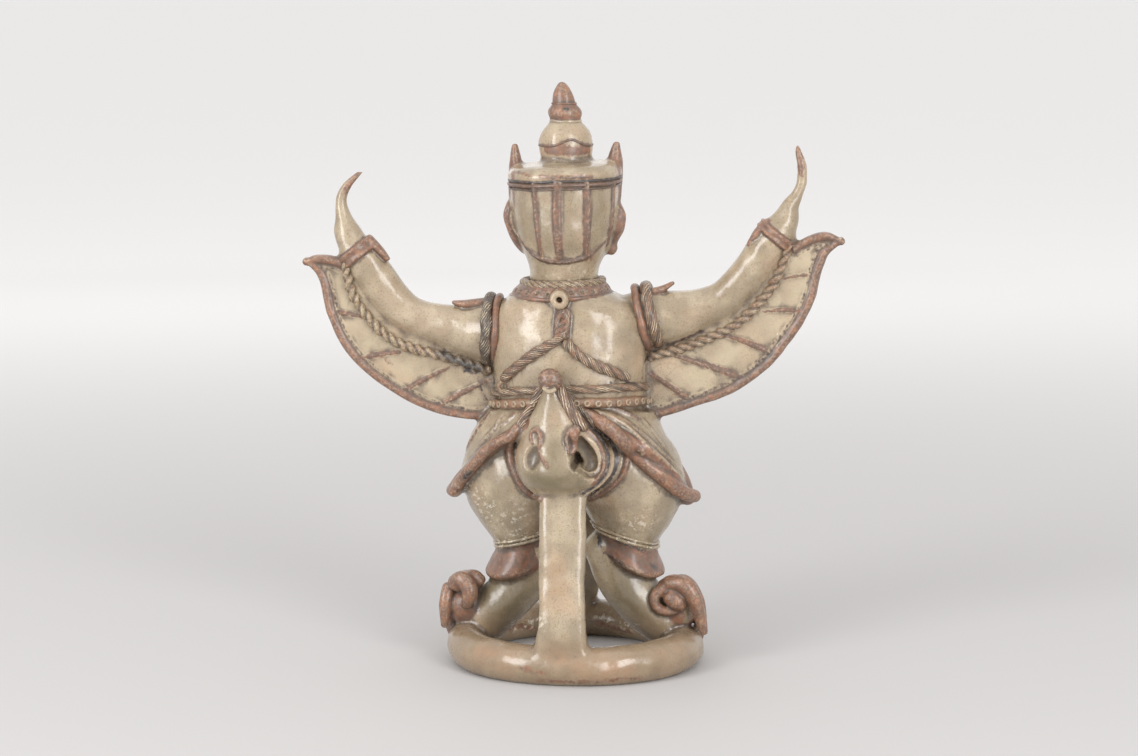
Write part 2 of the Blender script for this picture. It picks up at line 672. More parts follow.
def wing(top, edge, root, quills, black):
    """A wing plate with a rim, a scored line inside the rim, and quills."""
    outline = np.vstack([outline_through(top), outline_through(edge)[1:], outline_through(root)[1:]])
    shelve(CLAY, plate(outline, WING_PLATE, WING_MIDDLE))
    tip = edge[0][0]
    for run in (top, edge):
        rim = rim_path(run, tip, np.sign(tip), RIM_INSET)
        deep = WING_PLATE + 2 * WING_RELIEF
        shelve(TRIM, on_wing(rim, RIM_SHARE * WING_RIM, deep), iron=RIM_WASH, black=black)
        line = rim_path(run, tip, np.sign(tip), LINE_INSET)
        shelve(TRIM, on_wing(line, 1.0, WING_PLATE + 1.1), iron=0.4, black=0.62)
    for share, (x0, z0), (x1, z1) in quills:
        x = x0 * (1 - QUILL_BEND) + x1 * QUILL_BEND
        z = z0 * (1 - QUILL_BEND) + z1 * QUILL_BEND + 0.6
        path = [(x0, z0, share), (x, z, share), (x1, z1, QUILL_TIP * share)]
        quill = on_wing(path, WING_RIM * 0.5, WING_PLATE + 0.9 * WING_RELIEF)
        shelve(TRIM, quill, iron=0.62, black=0.46)


wing(LEFT_WING_TOP, LEFT_WING_EDGE, LEFT_WING_ROOT, LEFT_QUILLS, 0.26)
wing(RIGHT_WING_TOP, RIGHT_WING_EDGE, RIGHT_WING_ROOT, RIGHT_QUILLS, 0.38)
print(len(CLAY), "clay forms,", len(TRIM), "trims")

# %% [markdown]
# ## Hip cloth, breeches and legs
#
# A cloth spreads from the belt to a pointed corner over each thigh. Below it are full breeches that end
# in flared cuffs, and bare shins that splay out to the ring.

# %% Hip cloth
HIP_TOP = 120
HIP_CORNER = (65.6, 74.5)
HIP_MIDDLE = (38, 122)
HIP_LOPSIDED = 1.6
HIP_SWELL = 0.16
WAIST = (46, 33)
HEM_ROLL_STEP = math.pi / 7.6
BELT_TILT = 0.14


def hem_point(angle):
    """The hem's place at an angle round the figure: low at the two corners, high before and behind."""
    across, through = math.cos(angle), math.sin(angle)
    climb = abs(through) ** 1.5
    side = -2.2 if across < 0 else 0
    return np.array([
        1.4 + (HIP_CORNER[0] + HIP_LOPSIDED * across) * across * (1 - 0.12 * climb),
        HIP_MIDDLE[0] * through,
        HIP_CORNER[1] + (HIP_MIDDLE[1] - HIP_CORNER[1]) * climb + side * (1 - climb),
    ])


def hip_cloth(sides=120, rows=26):
    """The cloth, from the belt down to its hem, closed by a cone inside."""
    points = [place((1, 0, HIP_TOP))]
    for i in range(rows):
        down = i / (rows - 1)
        for j in range(sides):
            angle = 2 * math.pi * j / sides
            hem = hem_point(angle)
            top_y = WAIST[1] * math.sin(angle)
            top = np.array([2.2 + WAIST[0] * math.cos(angle), top_y, HIP_TOP + BELT_TILT * top_y])
            swell = down + HIP_SWELL * (1 + math.cos(angle)) * math.sin(math.pi * down) * (1 - down)
            spot = top + (hem - top) * swell
            spot[2] = top[2] + (hem[2] - top[2]) * down
            points.append(place(spot))
    points.append(place((1, 0, 96)))
    faces = [tuple(reversed(face)) for face in tube_faces(rows, sides)]
    return np.array(points), faces


shelve(CLAY, hip_cloth())
for start in (0, math.pi):
    rolls = []
    for step in range(-3, 4):
        x, y, z = hem_point(start + step * HEM_ROLL_STEP)
        thick = 9 - 0.8 * abs(step)
        rolls.append((x * 0.985, y, z, thick, thick * 0.9))
    shelve(CLAY, figure_loft(rolls, facing=(0, 0, 1)), iron=0.8, black=0.15)
print(len(CLAY), "clay forms with the hip cloth")


# %% Legs and cuffs
def over_ring(side, out, ahead, up):
    """A place near the ring's side, in millimetres out from its centre line and up from its top."""
    return RING_MIDDLE + np.array([side * (RING_RADIUS + out), ahead, RING_HEIGHT + up])


def leg(side):
    """Breeches, cuff and shin; `side` is 1 for the left leg and -1 for the right."""
    breeches = [
        (side * 16, 0, 106, 44, 52), (1 + side * 28, 0, 88, 59, 58), (1.2 + side * 31, -1, 74, 59, 56),
        (1 + side * 31, -1, 61, 46, 48), (0.6 + side * 30.6, -2, 47, 30, 37), (side * 31, -2, 40, 28, 32),
    ]
    shelve(CLAY, figure_loft(breeches, sides=64))
    drop, slant = (0, 0.42) if side > 0 else (-5, 0.62)
    cuff = [
        (side * 30, -2, 48 - drop, 28, 36), (1 + side * 30.8, -2, 41 - drop, 32, 40),
        (1.4 + side * 32.2, -2, 34 - drop, 36.6, 44),
    ]
    cuff_form = figure_loft(cuff, sides=64, bulge=0.35, tilt=(slant * side, -0.12))
    shelve(CLAY, cuff_form, iron=IRON_STRONG, black=0.3)
    shift = 2 if side > 0 else -1.5
    shin = [
        (side * 19, -3, 44, 31, 32), (side * (27.5 + shift), -2, 26, 29, 29),
        (side * (40 + shift), -1, 11, 28, 27), (side * (49 + shift / 2), 0, 1.5, 25, 22),
    ]
    shelve(CLAY, figure_loft(shin, sides=48))


print("each leg ends over the ring at", over_ring(1, 0, 0, 0).round(1), "or", over_ring(-1, 0, 0, 0).round(1))

# %% Claws
CLAW_HEIGHT = 25
CLAW_REACH = {1: 7.4, -1: 3.4}
TOES = [  # blue-black, then rows of column and row in the photo, depth behind the ring's middle, thickness
    (0.2, [
        (457, 583, 8, 10), (463, 579, 11, 10), (470, 588, 13, 9.4), (470, 597, 13, 8.4), (467.5, 604, 12, 6),
    ]),
    (0.35, [(466, 577, 6, 8), (474, 576, 8, 8), (480, 580, 8, 7)]),
    (0.2, [(449, 588, 4, 8), (446, 600, 7, 7.4), (445.5, 614, 8, 6), (445, 625, 8, 4)]),
    (0.2, [
        (668, 588, 9, 7), (660, 590, 11, 6.4), (655, 598, 12, 6), (657.5, 607, 12, 5.6), (666, 611, 12, 5.4),
        (677, 609, 11, 5),
    ]),
    (0.1, [(671, 597, 12, 9), (677, 602, 13, 9), (682, 606, 12, 6)]),
    (0.2, [
        (664, 587, 8, 8), (675, 583, 10, 9.4), (688, 588, 12, 9.6), (696, 601, 12, 8.6), (701, 618, 11, 7),
        (704.5, 632, 10, 4.4),
    ]),
]


def sight_of(pixel):
    """The way from the camera through a pixel of the photo."""
    across = (pixel[0] - PHOTO_SIZE[0] / 2) / FOCAL_PIXELS
    up = (PHOTO_SIZE[1] / 2 - pixel[1]) / FOCAL_PIXELS
    return across * right_way + up * up_way - back_way


def at_depth(pixel, depth):
    """Where the sight line of a pixel crosses an upright plane, `depth` behind the ring's middle."""
    sight = sight_of(pixel)
    return camera_place + sight * (RING_MIDDLE[1] + depth - camera_place[1]) / sight[1]


def claw(side):
    """The ankle's lump and the two toes that hook over the ring's outer side."""
    outer = RING_WIDTH / 2
    reach = CLAW_REACH[side]
    spot = (over_ring(side, reach - 7, -2, 10) - RING_MIDDLE - [0, 0, RING_HEIGHT]) / PART
    shelve(CLAY, egg((spot[0] - STANCE, spot[1], spot[2]), 23, 25, 24), iron=IRON_STRONG, black=0.15)
    for ahead in (-9, -1):
        toe_rows = [
            (*over_ring(side, reach - 12, ahead, CLAW_HEIGHT - 6), 9),
            (*over_ring(side, reach - 5, ahead * 1.1, CLAW_HEIGHT - 2.6), 9.4),
            (*over_ring(side, outer + reach * 0.9 - 9, ahead * 1.2, 14), 8.8),
            (*over_ring(side, outer + reach * 0.3 - 3.2, ahead * 1.2, 3), 7),
            (*over_ring(side, outer - 2, ahead * 1.15, -6), 4.4),
        ]
        shelve(TRIM, loft(toe_rows, sides=24), iron=IRON_STRONG, black=0.25)


for side in (1, -1):
    leg(side)
    claw(side)
for black, path in TOES:
    rows = [(*at_depth((u, v), depth), thick) for u, v, depth, thick in path]
    shelve(TRIM, loft(rows, sides=24), iron=0.9, black=black)
print(len(CLAY), "clay forms,", len(TRIM), "trims")

# %% [markdown]
# ## The tucked cloth, the prop and the sash
#
# Behind, the cloth is drawn up into a pear-shaped bag below a knob. The slab under it props the figure up
# from the ring; in front the hanging sash does the same.

# %% Bag and prop
BAG = [
    (138, 10.4, 35, 9, 12), (130, 9.4, 34, 17, 20), (121, 7.8, 33, 30, 28), (112, 6, 32.4, 42, 36),
    (102, 4.2, 32.4, 52, 44), (94, 4, 33, 51.6, 46), (86, 4.6, 33, 44, 40), (80, 5.2, 33, 30, 28),
]
PROP_X = 3.2
PROP_STATIONS = [(3.6, 48.4, 46), (3.6, 42.5, 76), (3.4, 38, 88)]
prop_back = RING_RADIUS - RING_FLATTENING
prop_foot = RING_MIDDLE + [PROP_X * PART, prop_back, RING_HEIGHT * 0.45]
prop_low = RING_MIDDLE + [PROP_X * PART, prop_back + 0.5 * PART, RING_HEIGHT + 12 * PART]

shelve(CLAY, stack(BAG, sides=64))
prop_rows = [(*prop_foot, PROP_WIDTH * 1.36, PROP_DEPTH * 1.16)]
for spot in (prop_low, *(place(station) for station in PROP_STATIONS)):
    prop_rows.append((*spot, PROP_WIDTH, PROP_DEPTH))
shelve(CLAY, loft(prop_rows, sides=64, square=0.5))
print("the prop stands", round(prop_back, 1), "mm behind the ring's middle")

# %% Sash, buckle and pendant
SASH_STATIONS = [(3, -34, 118, 1), (2, -40, 88, 1), (1, -44, 56, 0.96)]
BUCKLE = (3, -35, 120)
BUCKLE_KNOB = (3, -38.4, 120)
PENDANT = (6, -28, 176)
PENDANT_DROP = (4, -33, 156)
sash_low = RING_MIDDLE + [0, 8 * PART - RING_RADIUS, RING_HEIGHT + 20 * PART]
sash_foot = RING_MIDDLE + [0, -RING_RADIUS, RING_HEIGHT * 0.6]

sash_rows = [(*place(spot), SASH_WIDTH * share, SASH_DEPTH) for *spot, share in SASH_STATIONS]
sash_rows += [(*sash_low, SASH_WIDTH * 0.96, SASH_DEPTH), (*sash_foot, SASH_WIDTH * 0.42, SASH_DEPTH)]
shelve(CLAY, loft(sash_rows, sides=64, square=0.5))
shelve(TRIM, egg(BUCKLE, 20, 8, 16), iron=0.75, black=0.2)
shelve(TRIM, egg(BUCKLE_KNOB, 9, 5, 8), iron=0.3)
shelve(TRIM, egg(PENDANT, 22, 9, 24, (0.16, 0, 0)), iron=0.6)
shelve(TRIM, egg(PENDANT_DROP, 11, 8, 11), iron=0.7)
print(len(CLAY), "clay forms,", len(TRIM), "trims")

# %% [markdown]
# ## Ropes, pellets and the ring by rule
#
# A twisted rope, a row of pellets and the ring all follow a path by a rule, so Geometry Nodes make them.
# The rope winds a lobed section round its path; the pellets are small rings set at even steps; the base is
# a roll of clay carried round a circle that is pressed in behind, with its underside rubbed flat.

# %% How a node tree begins and ends
glaze = bpy.data.materials.new("ash-glazed stoneware")


def new_tree(name, sizes):
    """An empty geometry tree with named inputs; returns the tree and its input sockets."""
    tree = bpy.data.node_groups.new(name, "GeometryNodeTree")
    tree.interface.new_socket("Geometry", in_out="INPUT", socket_type="NodeSocketGeometry")
    for label, value in sizes.items():
        kind = "NodeSocketInt" if isinstance(value, int) else "NodeSocketFloat"
        tree.interface.new_socket(label, in_out="INPUT", socket_type=kind).default_value = value
    tree.interface.new_socket("Clay", in_out="INPUT", socket_type="NodeSocketMaterial")
    tree.interface.new_socket("Geometry", in_out="OUTPUT", socket_type="NodeSocketGeometry")
    return tree, put(tree, "NodeGroupInput").outputs


def finish_tree(tree, given, made):
    """Ends a tree in Realize Instances and Set Material."""
    real = put(tree, "GeometryNodeRealizeInstances", {"Geometry": made})
    dressed = put(tree, "GeometryNodeSetMaterial", {"Geometry": real.outputs[0], "Material": given["Clay"]})
    put(tree, "NodeGroupOutput", {"Geometry": dressed.outputs[0]})
    return tree


print("the clay of all pieces is", glaze.name)

# %% Rope tree: a lobed section that turns as it runs along the path
ROPE_SIDES = 22


def rope_tree():
    """The section also notes how deep it lies in a groove, and its direction, for the scored lines."""
    tree, given = new_tree("twisted rope", {
        "Width": 5.0, "Pitch": 14.0, "Strands": 2, "Groove": 0.45, "Step": 0.7,
    })
    curve = put(tree, "GeometryNodeMeshToCurve", {"Mesh": given["Geometry"]})
    even = put(tree, "GeometryNodeResampleCurve", {
        "Curve": curve.outputs[0], "Length": given["Step"],
    }, mode="LENGTH")
    length = put(tree, "GeometryNodeSplineParameter").outputs["Length"]
    turns = put(tree, "ShaderNodeMath", {0: length, 1: given["Pitch"]}, operation="DIVIDE").outputs[0]
    turn = put(tree, "ShaderNodeMath", {0: turns, 1: math.tau}, operation="MULTIPLY").outputs[0]
    wound = put(tree, "GeometryNodeSetCurveTilt", {"Curve": even.outputs[0], "Tilt": turn})
    radius = put(tree, "ShaderNodeMath", {0: given["Width"], 1: 0.5}, operation="MULTIPLY").outputs[0]
    circle = put(tree, "GeometryNodeCurvePrimitiveCircle", {"Resolution": ROPE_SIDES, "Radius": radius})
    here = put(tree, "GeometryNodeInputPosition").outputs[0]
    split = put(tree, "ShaderNodeSeparateXYZ", {0: here}).outputs
    angle = put(tree, "ShaderNodeMath", {0: split[1], 1: split[0]}, operation="ARCTAN2").outputs[0]
    waves = put(tree, "ShaderNodeMath", {0: angle, 1: given["Strands"]}, operation="MULTIPLY").outputs[0]
    wave = put(tree, "ShaderNodeMath", {0: waves}, operation="COSINE").outputs[0]
    floor_share = put(tree, "ShaderNodeMath", {0: 1.0, 1: given["Groove"]}, operation="SUBTRACT").outputs[0]
    share = put(tree, "ShaderNodeMapRange", {
        "Value": wave, "From Min": -1.0, "From Max": 1.0, "To Min": floor_share, "To Max": 1.0,
    }).outputs[0]
    lobed = put(tree, "ShaderNodeVectorMath", {0: here, "Scale": share}, operation="SCALE").outputs[0]
    depth = put(tree, "ShaderNodeMapRange", {"Value": wave, "From Min": 1.0, "From Max": -1.0}).outputs[0]
    east = put(tree, "ShaderNodeMath", {0: split[0], 1: radius}, operation="DIVIDE").outputs[0]
    north = put(tree, "ShaderNodeMath", {0: split[1], 1: radius}, operation="DIVIDE").outputs[0]
    section = circle
    for name, value in (("groove", depth), ("east", east), ("north", north)):
        section = put(tree, "GeometryNodeStoreNamedAttribute", {
            "Geometry": section.outputs[0], "Name": name, "Value": value,
        }, data_type="FLOAT", domain="POINT")
    section = put(tree, "GeometryNodeSetPosition", {"Geometry": section.outputs[0], "Position": lobed})
    girth = put(tree, "GeometryNodeInputNamedAttribute", {"Name": "girth"}, data_type="FLOAT").outputs[0]
    rope = put(tree, "GeometryNodeCurveToMesh", {
        "Curve": wound.outputs[0], "Profile Curve": section.outputs[0], "Scale": girth, "Fill Caps": True,
    })
    return finish_tree(tree, given, rope.outputs[0])


ROPE = rope_tree()
print("the rope tree has", len(ROPE.nodes), "nodes")

# %% Pellet tree: small rings at even steps along the path
PELLET_SIDES = 14
PELLET_ROLL_SIDES = 8


def pellet_tree():
    tree, given = new_tree("ring pellets", {"Spacing": 6.0, "Radius": 1.7, "Thickness": 0.7})
    curve = put(tree, "GeometryNodeMeshToCurve", {"Mesh": given["Geometry"]})
    spots = put(tree, "GeometryNodeCurveToPoints", {
        "Curve": curve.outputs[0], "Length": given["Spacing"],
    }, mode="LENGTH")
    large, small = [
        put(tree, "GeometryNodeCurvePrimitiveCircle", {"Resolution": sides, "Radius": given[size]}).outputs[0]
        for sides, size in ((PELLET_SIDES, "Radius"), (PELLET_ROLL_SIDES, "Thickness"))
    ]
    pellet = put(tree, "GeometryNodeCurveToMesh", {"Curve": large, "Profile Curve": small})
    outward = put(tree, "GeometryNodeInputNamedAttribute", {"Name": "outward"}, data_type="FLOAT_VECTOR")
    facing = put(tree, "FunctionNodeAlignRotationToVector", {"Vector": outward.outputs[0]}, axis="Z")
    row = put(tree, "GeometryNodeInstanceOnPoints", {
        "Points": spots.outputs["Points"], "Instance": pellet.outputs[0], "Rotation": facing.outputs[0],
    })
    return finish_tree(tree, given, row.outputs[0])


PELLETS = pellet_tree()
print("the pellet tree has", len(PELLETS.nodes), "nodes")

# %% Ring tree: a roll with a flat underside, round a circle that is pressed in behind
RING_STATIONS = 160
RING_SIDES = 48
ROLL_RISE = 0.54
ROLL_MIDDLE = 0.46


def ring_tree():
    tree, given = new_tree("ring base", {
        "Radius": float(RING_RADIUS), "Width": float(RING_WIDTH), "Height": float(RING_HEIGHT),
        "Pressed in": float(RING_FLATTENING),
    })
    circle = put(tree, "GeometryNodeCurvePrimitiveCircle", {
        "Resolution": RING_STATIONS, "Radius": given["Radius"],
    })
    here = put(tree, "GeometryNodeInputPosition").outputs[0]
    split = put(tree, "ShaderNodeSeparateXYZ", {0: here}).outputs
    back = put(tree, "ShaderNodeMath", {0: split[1], 1: 0.0}, operation="MAXIMUM").outputs[0]
    share = put(tree, "ShaderNodeMath", {0: back, 1: given["Radius"]}, operation="DIVIDE").outputs[0]
    steep = put(tree, "ShaderNodeMath", {0: share, 1: share}, operation="MULTIPLY").outputs[0]
    press = put(tree, "ShaderNodeMath", {0: steep, 1: given["Pressed in"]}, operation="MULTIPLY").outputs[0]
    inward = put(tree, "ShaderNodeMath", {0: press, 1: -1.0}, operation="MULTIPLY").outputs[0]
    offset = put(tree, "ShaderNodeCombineXYZ", {"Y": inward}).outputs[0]
    pressed = put(tree, "GeometryNodeSetPosition", {"Geometry": circle.outputs[0], "Offset": offset})
    unit = put(tree, "GeometryNodeCurvePrimitiveCircle", {"Resolution": RING_SIDES, "Radius": 1.0})
    here = put(tree, "GeometryNodeInputPosition").outputs[0]
    split = put(tree, "ShaderNodeSeparateXYZ", {0: here}).outputs
    wide = put(tree, "ShaderNodeMath", {0: given["Width"], 1: 0.5}, operation="MULTIPLY").outputs[0]
    x = put(tree, "ShaderNodeMath", {0: split[0], 1: wide}, operation="MULTIPLY").outputs[0]
    rise = put(tree, "ShaderNodeMath", {0: given["Height"], 1: ROLL_RISE}, operation="MULTIPLY").outputs[0]
    mid = put(tree, "ShaderNodeMath", {0: given["Height"], 1: ROLL_MIDDLE}, operation="MULTIPLY").outputs[0]
    y = put(tree, "ShaderNodeMath", {0: split[1], 1: rise, 2: mid}, operation="MULTIPLY_ADD").outputs[0]
    flat = put(tree, "ShaderNodeMath", {0: y, 1: 0.0}, operation="MAXIMUM").outputs[0]
    below = put(tree, "ShaderNodeMath", {0: flat, 1: -1.0}, operation="MULTIPLY").outputs[0]
    section_spot = put(tree, "ShaderNodeCombineXYZ", {"X": x, "Y": below}).outputs[0]
    drawn = put(tree, "GeometryNodeSetPosition", {"Geometry": unit.outputs[0], "Position": section_spot})
    section = put(tree, "GeometryNodeReverseCurve", {"Curve": drawn.outputs[0]})
    upright = put(tree, "GeometryNodeSetCurveNormal", {"Curve": pressed.outputs[0]}, mode="Z_UP")
    roll = put(tree, "GeometryNodeCurveToMesh", {
        "Curve": upright.outputs[0], "Profile Curve": section.outputs[0],
    })
    return finish_tree(tree, given, roll.outputs[0])


RING = ring_tree()
print("the ring tree has", len(RING.nodes), "nodes")


# %% Running modifiers and trees
def held(mesh):
    """An object that holds a mesh while modifiers run on it."""
    holder = bpy.data.objects.new(mesh.name, mesh)
    bpy.context.collection.objects.link(holder)
    return holder


def result_of(holder):
    """The mesh that the modifiers of an object make; the object and its own mesh are cleared away."""
    mesh = holder.data
    result = bpy.data.meshes.new_from_object(holder.evaluated_get(bpy.context.evaluated_depsgraph_get()))
    bpy.data.objects.remove(holder)
    bpy.data.meshes.remove(mesh)
    return result


def read_marks(mesh):
    """The marks that the rope tree left on the corners, if there are any."""
    marks = {}
    for name in ("groove", "east", "north"):
        if name in mesh.attributes:
            marks[name] = np.empty(len(mesh.vertices))
            mesh.attributes[name].data.foreach_get("value", marks[name])
    return marks


def made_by(tree, path, closed=False, girth=None, outward=None, **sizes):
    """Runs a tree on a path and returns the result as corners, faces and marks."""
    mesh = bpy.data.meshes.new(tree.name)
    count = len(path)
    edges = [(k, k + 1) for k in range(count - 1)] + ([(count - 1, 0)] if closed else [])
    mesh.from_pydata([tuple(spot) for spot in path], edges, [])
    girths = np.full(count, 1.0) if girth is None else girth
    mesh.attributes.new("girth", "FLOAT", "POINT").data.foreach_set("value", girths)
    if outward is not None:
        mesh.attributes.new("outward", "FLOAT_VECTOR", "POINT").data.foreach_set("vector", np.ravel(outward))
    holder = held(mesh)
    modifier = holder.modifiers.new(tree.name, "NODES")
    modifier.node_group = tree
    for item in tree.interface.items_tree:
        if item.in_out == "INPUT" and item.name in sizes:
            modifier[item.identifier] = sizes[item.name]
        if item.in_out == "INPUT" and item.name == "Clay":
            modifier[item.identifier] = glaze
    result = result_of(holder)
    made = (corners_of(result), [tuple(face.vertices) for face in result.polygons], read_marks(result))
    bpy.data.meshes.remove(result)
    return made


ring_points, ring_faces, _ = made_by(RING, [(0, 0, 0), (1, 0, 0)])
shelve(CLAY, (ring_points + RING_MIDDLE, ring_faces))
print("the ring spans", np.ptp(ring_points, axis=0).round(1), "mm, from z", ring_points[:, 2].min().round(2))

# %% [markdown]
# ## Joining the plain clay
#
# A voxel remesh joins all plain forms into one skin, as wet clay joins. Then the skin is relaxed, more in
# its creases than elsewhere: that is the slip that a potter wipes into each joint.

# %% Join forms into one skin
CLAY_VOXEL = 1.2


def mesh_of(forms, name):
    """One mesh that holds all the forms side by side."""
    points, faces, start = [], [], 0
    for form in forms:
        points.append(form["points"])
        faces += [tuple(corner + start for corner in face) for face in form["faces"]]
        start += len(form["points"])
    mesh = bpy.data.meshes.new(name)
    mesh.from_pydata(np.vstack(points).tolist(), [], faces)
    return mesh


def faces_of(mesh, sides):
    """The faces of a mesh, which all have as many sides, as rows of corner numbers."""
    faces = np.empty(len(mesh.loops), int)
    mesh.loops.foreach_get("vertex_index", faces)
    return faces.reshape(-1, sides)


def joined(mesh, voxel):
    """One skin round all the forms of a mesh, as corners and four-sided faces."""
    holder = held(mesh)
    remesh = holder.modifiers.new("join", "REMESH")
    remesh.mode = "VOXEL"
    remesh.voxel_size = voxel
    result = result_of(holder)
    skin = (corners_of(result), faces_of(result, 4))
    bpy.data.meshes.remove(result)
    return skin


print("the plain clay is joined at a grain of", CLAY_VOXEL, "mm")


# %% A skin that can be softened
class Skin:
    """A skin of four-sided faces that can be relaxed and measured."""

    def __init__(self, points, faces):
        self.points = points
        self.faces = faces
        pairs = np.vstack([faces[:, [k, (k + 1) % 4]] for k in range(4)])
        self.edges = np.unique(np.sort(pairs, axis=1), axis=0)
        self.count = np.bincount(self.edges.ravel(), minlength=len(points)).clip(1)

    def around(self, values):
        """The mean of each corner's neighbours, for a column or for rows of numbers."""
        a, b = self.edges.T
        columns = values.reshape(len(values), -1)
        total = [
            np.bincount(a, columns[b, k], len(values)) + np.bincount(b, columns[a, k], len(values))
            for k in range(columns.shape[1])
        ]
        return (np.stack(total, 1) / self.count[:, None]).reshape(values.shape)

    def normals(self):
        """The way that the skin faces at each corner."""
        spots = self.points[self.faces]
        face_normals = np.cross(spots[:, 2] - spots[:, 0], spots[:, 3] - spots[:, 1])
        total = np.zeros_like(self.points)
        for k in range(4):
            for axis in range(3):
                total[:, axis] += np.bincount(self.faces[:, k], face_normals[:, axis], len(total))
        return total / np.linalg.norm(total, axis=1)[:, None].clip(1e-9)

    def relax(self, rounds, press=0.5, swell=-0.52):
        """Smooths out the steps of the voxels without shrinking the form."""
        for _ in range(rounds):
            for share in (press, swell):
                self.points += share * (self.around(self.points) - self.points)

    def wipe_creases(self, rounds, share=0.6):
        """Fills only what is hollow, like slip wiped into a joint."""
        for _ in range(rounds):
            normals = self.normals()
            rise = np.sum((self.around(self.points) - self.points) * normals, axis=1)
            self.points += (share * rise.clip(0))[:, None] * normals


RELAX_ROUNDS = 4
WIPE_ROUNDS = 10
clay = Skin(*joined(mesh_of(CLAY, "plain clay"), CLAY_VOXEL))
clay.relax(RELAX_ROUNDS)
clay.wipe_creases(WIPE_ROUNDS)
print("plain clay:", len(clay.points), "corners")

# %% [markdown]
# ## Carving the hollows
#
# Two hollows sit in the bag: a deep one under its right leaf, made by two strokes of the thumb that run
# into each other, and a shallow one under its left leaf. The clay inside each shape is pressed forwards
# to the far wall of it.

# %% Hollows in the bag
HOLLOWS = [
    {"centre": (-8.8, 49, 103.8), "size": (17, 21, 27), "turn": (0, 0.42, 0.3)},
    {"centre": (-3.2, 44, 99.6), "size": (6, 26, 10), "turn": (0, 0.3, 0)},
    {"centre": (20.6, 50.6, 103), "size": (12, 10, 16), "turn": (0, -0.1, -0.35)},
]


def tree_of(points, faces):
    """A search tree over corners and faces, for finding where a line meets them."""
    return BVHTree.FromPolygons(points.tolist(), [tuple(face) for face in faces])


def press_in(skin, form):
    """Presses the skin inside a convex form forwards, to the form's far wall."""
    tree = tree_of(*form)
    low, high = form[0].min(0), form[0].max(0)
    near = np.flatnonzero(np.all((skin.points > low) & (skin.points < high), axis=1))
    pressed = 0
    for index in near:
        spot = Vector(skin.points[index])
        ahead = tree.ray_cast(spot, Vector((0, -1, 0)))[0]
        behind = tree.ray_cast(spot, Vector((0, 1, 0)))[0]
        if ahead is not None and behind is not None:
            skin.points[index, 1] = ahead.y
            pressed += 1
    return pressed


for hollow in HOLLOWS:
    form = egg(hollow["centre"], *hollow["size"], hollow["turn"])
    print("pressed", press_in(clay, form), "corners into a hollow")
clay.relax(1)
clay_tree = tree_of(clay.points, clay.faces)

# %% [markdown]
# ## Laying trim where the photo shows it
#
# A sight line from the camera through a pixel of the photo meets the clay at one spot. Paths for ropes,
# rolls and brush strokes are given as such pixels, so each lies on the surface that carries it.

# %% Where a pixel meets the clay
BOSS_PIXEL = (562, 299)
EVEN_ROUNDS = 3


def seen(pixel, tree=clay_tree):
    """The spot on the clay behind a pixel of the photo, and the way that the surface faces there."""
    spot, normal, _, _ = tree.ray_cast(Vector(camera_place), Vector(sight_of(pixel)))
    return (None, None) if spot is None else (np.array(spot), np.array(normal))


def laid(pixels, lift, steps=5):
    """A smooth path over the clay through pixels, raised from the surface by `lift`."""
    dense = spline([(u, v, 0) for u, v in pixels], steps)
    found = [seen(pixel) for pixel in dense]
    spots = np.array([spot + normal * lift for spot, normal in found if spot is not None])
    for _ in range(EVEN_ROUNDS):
        spots[1:-1] = (spots[:-2] + 2 * spots[1:-1] + spots[2:]) / 4
    return spots


spot, _ = seen(BOSS_PIXEL)
print("the boss is seen at", spot.round(1))


# %% Rolls and ropes
WAVERS = ((0.05, 23, 1), (0.04, 9.7, 2))  # how a hand-rolled cord swells: share, wavelength, shift
ROPE_GRAIN = 0.8


def roll(pixels, wide, deep=None, lift=0.0, taper=(0.6, 0.6), **options):
    """A roll of clay laid along pixels, narrower at its ends."""
    spots = laid(pixels, lift)
    share = np.linspace(0, 1, len(spots))
    girth = np.interp(share, [0, 0.2, 0.8, 1], [taper[0], 1, 1, taper[1]])
    rows = [(*spot, wide * g, (deep or wide) * g) for spot, g in zip(spots, girth)]
    stations = rows[::2]
    if len(rows) % 2 == 0:
        stations.append(rows[-1])
    return loft(stations, sides=24, steps=3, **options)


def rope(path, width, pitch, strands=2, groove=0.3, closed=False, taper=(1, 1), step=0.7):
    """A twisted rope along a path; a closed one gets a whole number of turns, an open one round ends."""
    path = np.asarray(path)
    ends = np.vstack([path, path[:1]]) if closed else path
    way = np.concatenate([[0], np.cumsum(np.linalg.norm(np.diff(ends, axis=0), axis=1))])
    length = way[-1]
    way = way[:len(path)]
    girth = np.ones(len(way))
    for share, size, turns in WAVERS:
        girth = girth + share * np.sin(way * math.tau / size + turns * length)
    if closed:
        pitch = length / max(1, round(length / pitch))
    else:
        dense = np.linspace(0, length, max(8, int(length / ROPE_GRAIN)))
        path = np.stack([np.interp(dense, way, path[:, k]) for k in range(3)], 1)
        narrowing = np.interp(dense / length, [0, 0.12, 0.88, 1], [taper[0], 1, 1, taper[1]])
        girth = np.interp(dense, way, girth) * narrowing
        from_end = np.minimum(dense, length - dense) / (width / 2)
        girth *= np.sqrt(1 - (1 - from_end.clip(0.03, 1)) ** 2)
    sizes = {"Width": float(width), "Pitch": float(pitch), "Groove": float(groove), "Step": float(step)}
    return made_by(ROPE, path, closed, girth, Strands=strands, **sizes)


print("a test rope has", len(rope([(0, 0, 0), (0, 0, 9)], 4, 9)[0]), "corners")

# %% [markdown]
# ## Cap and collar
#
# The cap has four flat ribs behind, a band below its brim and a wavy line round the dome. The collar has
# a sloping lower tier with a row of pricked holes, a twisted upper tier, and a round boss with the air hole.

